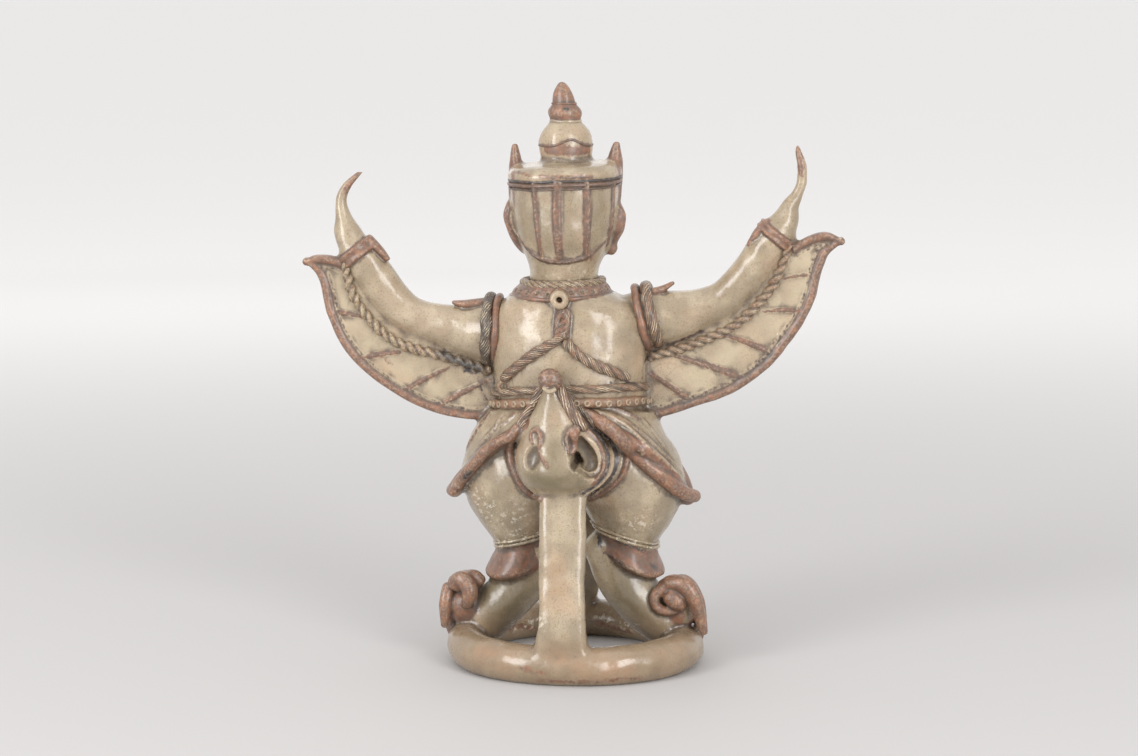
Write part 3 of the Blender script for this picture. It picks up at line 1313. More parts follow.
# %% Cap ribs and nape line
EAR_RIDGES = [
    [(509.4, 206), (506, 212), (506, 221), (509.6, 231), (514.6, 240), (519, 247)],
    [(512, 212), (510.6, 219), (513, 228), (517.4, 236)],
    [(621, 207), (624.6, 213), (624, 222), (620.4, 232), (615.4, 240)],
]
CAP_RIBS = [
    (2.2, [(533.6, 184), (534.6, 196), (536, 212), (538, 233), (541, 256)]),
    (4.2, [(557.6, 183), (557, 196), (556.8, 212), (557.5, 233), (559.6, 258)]),
    (3.3, [(585.8, 183), (586.5, 196), (586.8, 212), (586.6, 233), (585.4, 254)]),
    (2.8, [(613.6, 182), (613.4, 190), (612.6, 204), (610, 226), (606, 246)]),
]
NAPE_LINE = [
    (519, 236), (523, 244), (531, 252), (541, 258.6), (552, 261), (563, 261.6), (575, 260), (586, 256),
    (597, 249), (606, 239),
]
FRONT_RIBS = (118, 155, 193, 228)
FRONT_RIB_ROWS = ((244, 29.2, 1.1), (240, 29.4, 1), (236, 29.2, 0.8))
for wide, pixels in CAP_RIBS:
    rib = roll(pixels, wide, 2.2, lift=0.05, taper=(1.1, 0.6), square=0.5)
    shelve(TRIM, rib, iron=0.75, black=0.46)
for pixels in EAR_RIDGES:
    shelve(TRIM, roll(pixels, 1.8, 1.6, lift=0.2, taper=(0.5, 0.5)), iron=0.25, black=0.1)
for degrees in FRONT_RIBS:
    outward = np.array([math.sin(math.radians(degrees)), math.cos(math.radians(degrees)), 0])
    rows = []
    for z, radius, share in FRONT_RIB_ROWS:
        rows.append((CAP_CENTRE + radius * outward[0], radius * outward[1], z, 4 * share, 2.6))
    shelve(TRIM, figure_loft(rows, facing=outward, square=0.45, sides=28), iron=0.55, black=0.3)
shelve(TRIM, roll(NAPE_LINE, 2.6, 2.2), iron=0.7, black=0.55)
print(len(TRIM), "trims with the cap")


# %% Closed paths and plain hoops
def loop(centre, wide, deep, height, square=1.0, count=120):
    """A closed path round the figure; `height` gives z from x and y."""
    across, through = squared(2 * math.pi * np.arange(count) / count, square)
    spots = zip(across * wide / 2 + centre[0], through * deep / 2 + centre[1])
    return np.array([place((x, y, height(x, y))) for x, y in spots])


def hoop(path, size):
    """A plain roll round a closed path."""
    return rope(path, size, 1000, strands=1, groove=0.0, closed=True, step=0.9)


print("a test hoop has", len(hoop(loop((0, 0), 40, 40, lambda x, y: 0), 2)[0]), "corners")

# %% Bands below the brim and round the crown
BRIM_SLOPE = 0.03
BRIM_BANDS = ((247.9, 1.6, 0.8, 0.75), (245.7, 2.2, 0.75, 0.45), (243.6, 1.2, 0.6, 0.6))
CROWN_BANDS = ((1.2, 13.0, 2.2, 0.6, 0.3), (22.3, 7.4, 2.6, 0.1, 0.9), (32.0, 6.5, 1.0, 0.8, 0))
WAVE_FOOT = 9.6
WAVE_RISE = 3.6
WAVE_START = math.radians(108)
WAVE_STEPS = 90


def dome_wave(angle):
    """Height of the wavy line on the dome, with three peaks."""
    return WAVE_FOOT + WAVE_RISE * max(0, math.cos(1.5 * (angle - WAVE_START))) ** 4


for below, size, iron, black in BRIM_BANDS:
    path = loop((CAP_CENTRE, 0), 60.2, 60.6, lambda x, y: below - BRIM_SLOPE * (x - CAP_CENTRE))
    shelve(LAID, hoop(path, size), iron=iron, black=black)
wave_path = []
for angle in 2 * math.pi * np.arange(WAVE_STEPS) / WAVE_STEPS:
    z = dome_wave(angle)
    radius = np.interp(z, [row[0] for row in DOME], [row[1] for row in DOME]) - 0.2
    x = CROWN_PLACE[0] + FINIAL_LEAN * z + radius * math.cos(angle)
    wave_path.append(place((x, radius * math.sin(angle), CROWN_PLACE[2] + z)))
shelve(LAID, hoop(wave_path, 1.5), iron=0.55, black=0.5)
for height, radius, size, iron, worn in CROWN_BANDS:
    centre = (CROWN_PLACE[0] + FINIAL_LEAN * height, 0)
    path = loop(centre, 2 * radius, 2 * radius, lambda x, y: CROWN_PLACE[2] + height)
    shelve(LAID, hoop(path, size), iron=iron, worn=worn)
print(len(LAID), "laid forms on the cap and crown")

# %% Collar
COLLAR_TIER = [
    (182.4, 8.2, 0, 52, 51), (184.2, 8.1, 0, 54.6, 53.4), (187, 8, 0, 53, 52), (191, 7.8, 0, 46, 46),
]
COLLAR_TILT = 0.03
COLLAR_LEAN = 0.02
COLLAR_MIDDLE = 8
TWIST_HEIGHT = 191.2
FOOT_HEIGHT = 184.0
PIT_HEIGHT = 188.0
PIT_STEP = 14.4


def on_collar(height):
    """The collar's slope at a height, given from x and y."""
    return lambda x, y: height - COLLAR_TILT * (x - COLLAR_MIDDLE) + COLLAR_LEAN * y


shelve(TRIM, stack(COLLAR_TIER, tilt=(-COLLAR_TILT, COLLAR_LEAN), bulge=0.04), iron=0.8, black=0.42)
collar_path = loop((7.6, 0), 42.4, 43, on_collar(TWIST_HEIGHT))
collar_rope = rope(collar_path, 4.9, 22, strands=5, groove=0.09, closed=True)
shelve(LAID, collar_rope, iron=0.6, black=0.25, worn=0.6, hair=1)
collar_low = loop((8.1, 0), 54.8, 53.6, on_collar(FOOT_HEIGHT))
shelve(LAID, hoop(collar_low, 2.4), iron=0.85, black=0.35)
COLLAR_PITS = [
    place((8.2 + 26.2 * math.sin(a), 25.8 * math.cos(a), PIT_HEIGHT - COLLAR_TILT * 28 * math.sin(a)))
    for a in np.radians(np.arange(-176, 184, PIT_STEP))
]
print(len(COLLAR_PITS), "pricked holes to come")

# %% Boss
BOSS = (6.6, 28.5, 185.2)
SMALL_RING_ANGLES = 2 * math.pi * np.arange(32) / 32


def small_ring(centre, radius, behind):
    """A small upright circle, `behind` further back than its centre, in millimetres."""
    x, y, z = centre
    return [(x + radius * math.cos(a), y + behind, z + radius * math.sin(a)) for a in SMALL_RING_ANGLES]


boss_rows = [(BOSS[0], BOSS[1] - 7, BOSS[2], 10), (BOSS[0], BOSS[1] + 1.6, BOSS[2], 10.2)]
shelve(TRIM, figure_loft(boss_rows, facing=(0, 0, 1), bulge=0.1))
shelve(TRIM, hoop(small_ring(place(BOSS), 3.3, 2.4), 4.0)[:2])
print(len(TRIM), "trims and", len(LAID), "laid forms with the collar")

# %% [markdown]
# ## Cords, armlets and ropes
#
# Wound cords cross on the back and the chest, meet in a knot below the boss and run under the arms. Two
# bands circle each shoulder, one plain and one wound, and a heavier rope follows each arm along the wing.
# On the real figure each was rolled, twisted, scored with fine lines and pressed on with a wet finger.

# %% Crossed cords and knot
KNOT_CORE = [(562, 308), (562.5, 316), (562, 324), (561, 332), (562, 338)]
KNOT_STRANDS = [
    [(566.5, 309), (561, 313), (557.5, 320), (558.5, 328), (563, 334), (566, 339)],
    [(558.5, 311), (564.5, 316), (568, 323), (564.5, 330), (559, 335), (553.5, 340)],
    [(563, 308), (567.5, 314), (566, 321), (560.5, 325.5), (556.5, 331), (556, 337)],
]
LEFT_CORD = [(562, 333), (556.7, 340), (543.3, 349.2), (530, 357.5), (516.7, 368.3), (503.3, 380)]
RIGHT_CORD = [
    (564.5, 339), (570, 346.5), (576.7, 353.3), (590, 361.7), (603.3, 368.3), (616.7, 373.3), (629, 379),
]
BACK_CORDS = ((LEFT_CORD, 0.75, 0.1), (RIGHT_CORD, 0.72, 0.2))
CORD = {"strands": 3, "groove": 0.13}
CORD_PITCH = 22

shelve(TRIM, roll(KNOT_CORE, 8.4, 5, taper=(0.7, 0.9)), iron=0.8)
for pixels in KNOT_STRANDS:
    strand = rope(laid(pixels, 1.8), 4.0, 30, **CORD, taper=(0.7, 0.7))
    shelve(LAID, strand, iron=0.8, black=0.12, hair=0.7)
for pixels, iron, worn in BACK_CORDS:
    cord = rope(laid(pixels, 1.0), STRAP_WIDTH * 1.3, CORD_PITCH, **CORD, taper=(0.9, 0.75))
    shelve(LAID, cord, iron=iron, black=0.25, worn=worn, hair=1)
print(len(LAID), "laid forms with the cords behind")

# %% Cords that cross on the chest
CHEST_CROSSING = (4, 156)
CHEST_POWERS = (2.33, 0.43)  # the trunk's section: its depth from the share across
CHEST_LIFT = 0.6
FURTHEST_ACROSS = 0.97
CHEST_ENDS = (
    ((16, 164), (27, 172)), ((-8, 164), (-19, 172)), ((17, 148), (31, 140)), ((-9, 148), (-23, 140)),
)

for ends in CHEST_ENDS:
    rows = []
    for x, z in outline_through((CHEST_CROSSING, *ends)):
        wide, deep = [np.interp(z, [row[0] for row in TRUNK], [row[k] for row in TRUNK]) / 2 for k in (3, 4)]
        across = min(abs(x - CHEST_CROSSING[0]) / wide, FURTHEST_ACROSS)
        y = -deep * (1 - across ** CHEST_POWERS[0]) ** CHEST_POWERS[1] - CHEST_LIFT
        rows.append(place((x, y, z)))
    shelve(LAID, rope(rows, STRAP_WIDTH * 1.2, CORD_PITCH, **CORD), iron=0.75, black=0.25, hair=1)
print(len(LAID), "laid forms with the cords in front")


# %% Armlets
def armlet(centre, half_up, half_deep, lean):
    """A closed path round the root of an arm, in a plane that leans by `lean` parts a part."""
    angle = 2 * math.pi * np.arange(72) / 72
    x = centre[0] + lean * half_up * np.sin(angle)
    y = [centre[1] + half_deep * math.cos(t) for t in angle]
    z = [centre[2] + half_up * math.sin(t) for t in angle]
    return np.array([place(spot) for spot in zip(x, y, z)])


LEFT_PLAIN = ((43.4, 0, 164.6), 18.2, 18.4, -0.05)
LEFT_WOUND = ((48.2, 0, 164.6), 17.6, 18, -0.04)
RIGHT_PLAIN = ((-35.8, 0, 171.8), 16.4, 16.8, 0.24)
RIGHT_WOUND = ((-41.6, 0, 173.4), 15.4, 16.2, 0.24)
ARMLET_WIDTH = 6.4

shelve(LAID, hoop(armlet(*LEFT_PLAIN), 3.8), iron=0.9, black=0.2)
left_armlet = rope(armlet(*LEFT_WOUND), ARMLET_WIDTH, 30, strands=2, groove=0.14, closed=True)
shelve(LAID, left_armlet, iron=0.6, black=0.74, worn=0.15, hair=1)
shelve(LAID, hoop(armlet(*RIGHT_PLAIN), 4.2), iron=0.9, black=0.2)
right_armlet = rope(armlet(*RIGHT_WOUND), ARMLET_WIDTH, 36, strands=3, groove=0.1, closed=True)
shelve(LAID, right_armlet, iron=0.75, black=0.32, worn=0.15, hair=1)
print(len(LAID), "laid forms with the armlets")

# %% Wing ropes
LEFT_ROPE = [
    (127.4, 207), (124.4, 189), (117.5, 175.6), (106.5, 162.9), (92.7, 155), (76, 150.6), (62, 146.8),
    (46, 141.6),
]
RIGHT_ROPE = [
    (-115.6, 216.3), (-111.6, 201.4), (-105.1, 188), (-97.1, 178), (-86.3, 169.2), (-72.7, 162),
    (-56.3, 155.6), (-39, 150.4),
]
WING_ROPES = ((LEFT_ROPE, 0.2, 0.75), (RIGHT_ROPE, 0.15, 0.4))
ROPE_LIFT = 3.8
ROPE_PITCH = 11.5

for path, black, worn in WING_ROPES:
    for way in (1, -1):
        rows = spline([(*place((x, WING_MIDDLE, z)),) for x, z in path], 8)
        rows[:, 1] += way * ROPE_LIFT
        wing_rope = rope(rows, ROPE_WIDTH * 1.1, ROPE_PITCH, groove=0.36, taper=(0.6, 1.1))
        shelve(LAID, wing_rope, iron=0.6, black=black, worn=worn, hair=0.6)
print(len(LAID), "laid forms with the ropes")

# %% [markdown]
# ## Belt and hip trim
#
# The belt has a twisted upper band and a lower band set with small rings. From the knob on the bag,
# braids run down both sides and become the hems of the hip cloth.

# %% Belt
UPPER_BELT = 131.9
UPPER_SLOPE = 0.05
UPPER_MIDDLE = 3.4
LOWER_BELT = 124.8
LOWER_SLOPE = 0.03
LOWER_MIDDLE = 3.2
PELLET = {"Spacing": 6.0, "Radius": 1.35, "Thickness": 0.6}
ROSETTE_PIXEL = (504.5, 386)


def belt_path(middle, height, slope, wide, deep):
    """A sloping path round the trunk."""
    def rise(x, y):
        return height - slope * (x - middle) + BELT_TILT * y
    return loop((middle, 0), wide, deep, rise, TRUNK_SQUARE)


upper_belt = belt_path(UPPER_MIDDLE, UPPER_BELT, UPPER_SLOPE, 83.6, 66.6)
lower_belt = belt_path(LOWER_MIDDLE, LOWER_BELT, LOWER_SLOPE, 83.4, 66.8)
belt_rope = rope(upper_belt, 4.8, 40, strands=3, groove=0.12, closed=True)
shelve(LAID, belt_rope, iron=0.7, black=0.25, worn=0.3, hair=1)
shelve(LAID, hoop(lower_belt, 5.4), iron=0.75, black=0.12, worn=0.15)
outward = lower_belt - lower_belt.mean(0)
outward[:, 2] = 0
outward /= np.linalg.norm(outward, axis=1)[:, None]
pellets = made_by(PELLETS, lower_belt + outward * 2.7, True, None, outward, **PELLET)
shelve(LAID, pellets, iron=0.35, worn=0.6)
spot, _ = seen(ROSETTE_PIXEL)
shelve(LAID, hoop(small_ring(spot, 2.9, 1.6), 2.2), iron=0.6, worn=0.3)
print(len(LAID), "laid forms with the belt")

# %% Braids, and rolls of the hip cloth, as pixels of the photo
LEFT_BRAID = [(545, 386), (539, 396), (532, 408), (526, 418), (519, 428)]
LEFT_HEM = [(521, 423), (512, 434), (503, 439), (490, 447), (474, 464), (460, 480), (455, 491)]
LEFT_FRAME = [(515, 432), (510, 444), (510, 456), (514.5, 472), (521, 483), (530, 492), (541, 499)]
RIGHT_BRAID = [(556, 386), (562, 397), (569, 409), (577, 421), (586, 431)]
RIGHT_HEM = [
    (578, 409), (594, 418), (608, 427), (620, 438), (632, 450), (650, 466), (670, 482), (686, 493),
    (694, 496),
]
RIGHT_RIDGE = [(590, 409), (610, 416), (626, 426), (642, 442), (660, 458), (680, 476)]
FEATHERED = [(561, 391), (571, 402), (582, 412), (592, 422), (600, 432)]
print("the right hem runs through", len(RIGHT_HEM), "pixels")

# %% Folds of the cloth and stripes beside the bag: pixels, width, iron, blue-black
FOLDS = [
    ([(606, 411), (625, 421), (645, 436), (664, 454), (682, 474)], 1.7, 0.35, 0.3),
    ([(634, 413), (648, 425), (662, 443), (676, 462)], 1.5, 0.3, 0.4),
    ([(614, 408), (628, 413), (640, 420)], 1.4, 0.5, 0.45),
    ([(491, 411), (482, 424), (473, 438), (466, 450)], 1.6, 0.45, 0.4),
    ([(502, 412), (497, 424), (488, 436), (476, 449)], 1.5, 0.35, 0.35),
    ([(516, 412), (508, 420), (498, 428)], 1.5, 0.4, 0.3),
    ([(638, 451), (641, 449.4), (643, 452), (641, 455)], 1.5, 0.1, 0.0),
]
STRIPES = [
    ([(582, 426), (594, 437), (601, 449), (604, 461), (601, 473), (592, 484)], 1.9, 0.8, 0.3),
    ([
        (585, 424), (597, 435.4), (605, 447.6), (608, 460), (604.5, 473.6), (594, 485.4), (583, 493),
    ], 1.8, 0.8, 0.85),
    ([
        (589, 423), (601, 434), (609, 446.6), (612, 460), (608.4, 474), (597.4, 486), (585, 495),
    ], 1.7, 0.0, 0.0),
    ([
        (594, 422.6), (606, 433.8), (613.4, 446.6), (616.4, 460), (612.4, 474.6), (600.6, 487), (587, 496.6),
    ], 1.8, 0.7, 0.85),
    ([
        (599, 423), (611, 434.4), (618.4, 447), (621, 460.4), (616.8, 475), (604, 488), (589, 498),
    ], 1.6, 0.1, 0.0),
    ([
        (605, 425), (616.6, 436.4), (624, 448.6), (626.6, 461), (622, 476), (608, 489.6), (590, 499.4),
    ], 2.4, 0.75, 0.35),
]
print(len(FOLDS), "folds and", len(STRIPES), "stripes")

# %% Knob, braids and rolls laid on
KNOB = (10.8, 41, 143.2)
KNOB_NOTCH = [(7.4, 46.2, 138.6, 2, 2), (10.4, 47, 137.4, 2.4, 2), (13.8, 46.4, 139.2, 2, 2)]


def braid(pixels, lift, width, black, **options):
    """A braid beside the bag: three strands with scored lines."""
    form = rope(laid(pixels, lift), width, 60, strands=3, **options)
    shelve(LAID, form, iron=0.7, black=black, worn=0.1, hair=1)


shelve(TRIM, egg(KNOB, 13.4, 12, 12.4), iron=0.75, black=0.46)
shelve(TRIM, figure_loft(KNOB_NOTCH), iron=0.05)
braid(LEFT_BRAID, 0.4, 7.0, 0.3, groove=0.16, taper=(0.7, 0.9))
shelve(TRIM, roll(LEFT_HEM, 6.0, lift=0.4, taper=(0.7, 1.1)), iron=0.9, black=0.16)
shelve(TRIM, roll(LEFT_FRAME, 4.2, lift=0.3), iron=0.7, black=0.3)
braid(RIGHT_BRAID, 0.4, 7.4, 0.3, groove=0.16, taper=(0.7, 0.9))
braid(FEATHERED, 0.2, 5.4, 0.5, groove=0.14, taper=(0.6, 1.0))
shelve(TRIM, roll(RIGHT_HEM, 7.8, lift=0.6, taper=(0.5, 0.95)), iron=0.92, black=0.18)
shelve(TRIM, roll(RIGHT_RIDGE, 3.0, lift=0.2), iron=0.3, black=0.2)
for pixels, wide, iron, black in FOLDS:
    shelve(TRIM, roll(pixels, wide * 1.3, 1.4, lift=0.1, taper=(0.4, 0.4)), iron=iron, black=black)
for pixels, wide, iron, black in STRIPES:
    shelve(TRIM, roll(pixels, wide, lift=0.5), iron=iron, black=black)
print(len(TRIM), "trims on the hips")

# %% Curled edges in the bag
LEFT_CURL = [
    (532.5, 444), (530.8, 438), (532.5, 431.5), (536.5, 430), (540, 434), (541, 442), (539, 449), (542, 458),
    (548, 468),
]
LEAF_BODY = [(570.5, 455), (570, 446), (571.5, 437), (574, 430.5)]
LEAF_EDGE = [(567.5, 454), (566, 445), (567, 436), (570.5, 429), (575, 426.6), (578.3, 431), (578, 438)]
BOWL_EDGE = [(579, 432), (588, 439), (596, 449), (600, 460), (598, 470), (589, 474), (580, 468)]

shelve(TRIM, roll(LEFT_CURL, 2.2, lift=0.3, taper=(0.5, 0.4)), iron=0.55, black=0.3)
shelve(TRIM, roll(LEAF_BODY, 6.2, 4.4, lift=1.2, taper=(0.35, 0.4)), iron=0.8, black=0.05)
shelve(TRIM, roll(LEAF_EDGE, 1.8, lift=1.6, taper=(0.5, 0.5)), iron=0.6, black=0.45)
shelve(TRIM, roll(BOWL_EDGE, 2.2, lift=0.2, taper=(0.5, 0.5)), iron=0.05)
print(len(TRIM), "trims with the curled edges")

# %% Lips above the cuffs
SEARCH_REACH = 27
CUFF_RADIUS = 17
LIPS = (((31, -2), 48.4, -0.28), ((-30, -2), 50.4, 0.37))
LIP_LINES = ((0, 1.9), (2.3, 1.4))


def hugging(centre, height, lift, count=96):
    """A closed path on the clay round an upright axis, at heights given from x in parts."""
    path = []
    for angle in 2 * math.pi * np.arange(count) / count:
        way = np.array([math.cos(angle), math.sin(angle), 0])
        start = place((centre[0], centre[1], height(centre[0] + CUFF_RADIUS * way[0])))
        spot, normal, _, _ = clay_tree.ray_cast(Vector(start + SEARCH_REACH * PART * way), Vector(-way))
        path.append(np.array(spot) + lift * np.array(normal))
    path = np.array(path)
    for _ in range(EVEN_ROUNDS):
        path = (np.roll(path, 1, 0) + 2 * path + np.roll(path, -1, 0)) / 4
    return path


for centre, middle, slope in LIPS:
    for up, size in LIP_LINES:
        lip = hugging(centre, lambda x: middle + slope * (x - centre[0]) + up, 0.3)
        shelve(LAID, hoop(lip, size), iron=0.3, worn=0.9)
print(len(TRIM), "trims and", len(LAID), "laid forms in all")

# %% [markdown]
# ## One skin of fired clay
#
# The softened body and the wiped rolls are joined at a finer grain and wiped lightly into each other. The
# pricked holes and the air hole are pressed in. Last, one smooth unevenness is given to the skin and to
# the laid cords alike, since the whole figure moved a little under the potter's hands and in the fire.

# %% Join the body and the wiped rolls
FINE_VOXEL = 0.72
body = {"points": clay.points, "faces": [tuple(face) for face in clay.faces.tolist()]}
figure = Skin(*joined(mesh_of([body] + TRIM, "all the clay"), FINE_VOXEL))
figure.relax(1)
figure.wipe_creases(3, 0.5)
print("whole figure:", len(figure.points), "corners")

# %% Pricked holes and the air hole
PIT_RADIUS = 1.15
PIT_DEPTH = 1.7
PIT_REACH = 2.4
VENT_DEPTH = 9
VENT_SPAN = (-4, 8)
normals = figure.normals()


def prick(spots, radius, depth):
    """Presses a small round hole at each spot, along the way that the skin faces there."""
    for spot in spots:
        away = np.linalg.norm(figure.points - spot, axis=1)
        near = np.flatnonzero(away < radius * PIT_REACH)
        if len(near):
            first = near[np.argmin(away[near])]
            centre, way = figure.points[first].copy(), normals[first]
            off = figure.points[near] - centre
            side = np.linalg.norm(off - (off @ way)[:, None] * way, axis=1) / radius
            figure.points[near] -= (depth * np.exp(-(side ** 4)))[:, None] * way


prick(COLLAR_PITS, PIT_RADIUS, PIT_DEPTH)
from_vent = figure.points - (place(BOSS) + [0, 2.4, 0])
inside_vent = np.hypot(from_vent[:, 0], from_vent[:, 2]) < VENT_BORE / 2
inside_vent &= (from_vent[:, 1] > VENT_SPAN[0]) & (from_vent[:, 1] < VENT_SPAN[1])
figure.points[inside_vent, 1] -= VENT_DEPTH
print("pricked", len(COLLAR_PITS), "holes; the air hole took", int(inside_vent.sum()), "corners")

# %% Hand-made unevenness
UNEVEN = 0.22
WAVE_SIZES = (52, 38, 27, 19, 13, 9)
STILL_FOOT = 8
SEED = 7


def uneven(spots):
    """Shifts spots by a smooth field that is nought at the foot of the ring."""
    random = np.random.default_rng(SEED)
    shift = np.zeros_like(spots)
    for size in WAVE_SIZES:
        for _ in range(3):
            way = random.normal(size=3)
            way /= np.linalg.norm(way)
            aside = np.cross(way, random.normal(size=3))
            wave = np.sin(spots @ way * math.tau / size + random.uniform(0, math.tau))
            shift += (size / 50) ** 0.7 * wave[:, None] * aside / np.linalg.norm(aside)
    return spots + UNEVEN * np.clip(spots[:, 2:] / STILL_FOOT, 0, 1) * shift


figure.points = uneven(figure.points)
for form in LAID:
    form["points"] = uneven(form["points"])
print("each wave of the field shifts the clay by up to about", UNEVEN, "mm")

# %% [markdown]
# ## Thinning the skin
#
# The grain of the remesh is even, but a smooth thigh needs fewer faces than a rolled hem. Decimation keeps
# the faces where the form bends, until the piece is light enough to hand on.

# %% Thin out the faces
MOST_TRIANGLES = 192000


def thinned(points, faces, most):
    """The skin with fewer faces where it is smooth."""
    mesh = bpy.data.meshes.new("garuda_skin")
    mesh.from_pydata(points.tolist(), [], faces.tolist())
    holder = held(mesh)
    decimate = holder.modifiers.new("thin", "DECIMATE")
    decimate.ratio = min(1.0, most / (2 * len(faces)))
    decimate.use_collapse_triangulate = True
    return result_of(holder)


skin_mesh = thinned(figure.points, figure.faces, MOST_TRIANGLES)
print("thinned to", len(skin_mesh.polygons), "triangles")


# %% Take out bubbles
def take_out_bubbles(mesh):
    """Takes out the closed bubbles that the remesh left inside the clay, which no eye can reach."""
    clay_form = bmesh.new()
    clay_form.from_mesh(mesh)
    lowest = min(clay_form.verts, key=lambda corner: corner.co.z)
    reached, waiting = {lowest}, [lowest]
    while waiting:
        corner = waiting.pop()
        for side in corner.link_edges:
            other = side.other_vert(corner)
            if other not in reached:
                reached.add(other)
                waiting.append(other)
    bubbles = [corner for corner in clay_form.verts if corner not in reached]
    bmesh.ops.delete(clay_form, geom=bubbles, context="VERTS")
    clay_form.to_mesh(mesh)
    clay_form.free()
    print("took out", len(bubbles), "corners of bubbles")


take_out_bubbles(skin_mesh)
skin_points = corners_of(skin_mesh)
skin_faces = faces_of(skin_mesh, 3)
print("the skin has", len(skin_faces), "triangles")

# %% [markdown]
# ## Brushed iron and pooled glaze
#
# The wash follows the trim, and the glaze answers the form: it pools dark in creases and breaks to a pale
# cream on edges. Both are measured on the skin and kept as attributes of its corners. Further strokes are
# placed by the pixels where the photo shows them, each with its strength and its radius in millimetres.

# %% Measure creases and edges
FINE_ROUNDS = 6
WIDE_ROUNDS = 44
FINEST_VOXEL = 0.72
FULL_HOLLOW = (0.09, 0.55)  # how far, in millimetres, a fully dark crease lies below its surroundings
FULL_RIDGE = (0.1, 0.9)


def spread(values, rounds):
    """Values evened out over the skin, a little more with each round."""
    for _ in range(rounds):
        values = (values + figure.around(values)) / 2
    return values


normals = figure.normals()
fine_rise = np.sum((spread(figure.points, FINE_ROUNDS) - figure.points) * normals, axis=1)
wide_rise = np.sum((spread(figure.points, WIDE_ROUNDS) - figure.points) * normals, axis=1)
lookup = KDTree(len(figure.points))
for index, spot in enumerate(figure.points):
    lookup.insert(spot, index)
lookup.balance()
nearest = np.array([lookup.find(spot)[1] for spot in skin_points])
fine_rise, wide_rise = fine_rise[nearest], wide_rise[nearest]
grain = FINE_VOXEL / FINEST_VOXEL
fine_hollow = np.clip(fine_rise / (FULL_HOLLOW[0] * grain), 0, 1)
wide_hollow = np.clip(wide_rise / (FULL_HOLLOW[1] * grain), 0, 1)
fine_ridge = np.clip(-fine_rise / (FULL_RIDGE[0] * grain), 0, 1)
wide_ridge = np.clip(-wide_rise / (FULL_RIDGE[1] * grain), 0, 1)
crease = fine_hollow * 0.7 + wide_hollow * 0.5
edge = fine_ridge * 0.8 + wide_ridge * 0.3
print("crease", crease.mean().round(3), "edge", edge.mean().round(3))


# %% Iron wash that follows the trim
def surface_of(forms):
    """A search tree over forms, with the form that each face comes from."""
    spots, faces, owner, start = [], [], [], 0
    for number, form in enumerate(forms):
        spots += form["points"].tolist()
        faces += [tuple(corner + start for corner in face) for face in form["faces"]]
        owner += [number] * len(form["faces"])
        start += len(form["points"])
    return BVHTree.FromPolygons(spots, faces), owner


BRUSH_EDGE = 0.9
LAID_CREASE = 0.9
BRUSHED = ("iron", "black", "worn")
TINTS = ("chalk", "orange", "olive", "cream")
painted = [form for form in CLAY if form["iron"] > 0] + TRIM
wash_tree, owner = surface_of(painted)
laid_tree, _ = surface_of(LAID)
skin_fields = {name: np.zeros(len(skin_points)) for name in (*BRUSHED, *TINTS)}
for index, spot in enumerate(skin_points):
    _, _, face, away = wash_tree.find_nearest(Vector(spot), BRUSH_EDGE)
    if face is not None:
        share = 1 - (away / BRUSH_EDGE) ** 2
        for name in BRUSHED:
            skin_fields[name][index] = share * painted[owner[face]][name]
    _, _, face, away = laid_tree.find_nearest(Vector(spot), BRUSH_EDGE)
    if face is not None:
        crease[index] = max(crease[index], LAID_CREASE - away / BRUSH_EDGE)
print("wash covers", round(100 * float((skin_fields["iron"] > 0.3).mean())), "% of the corners")

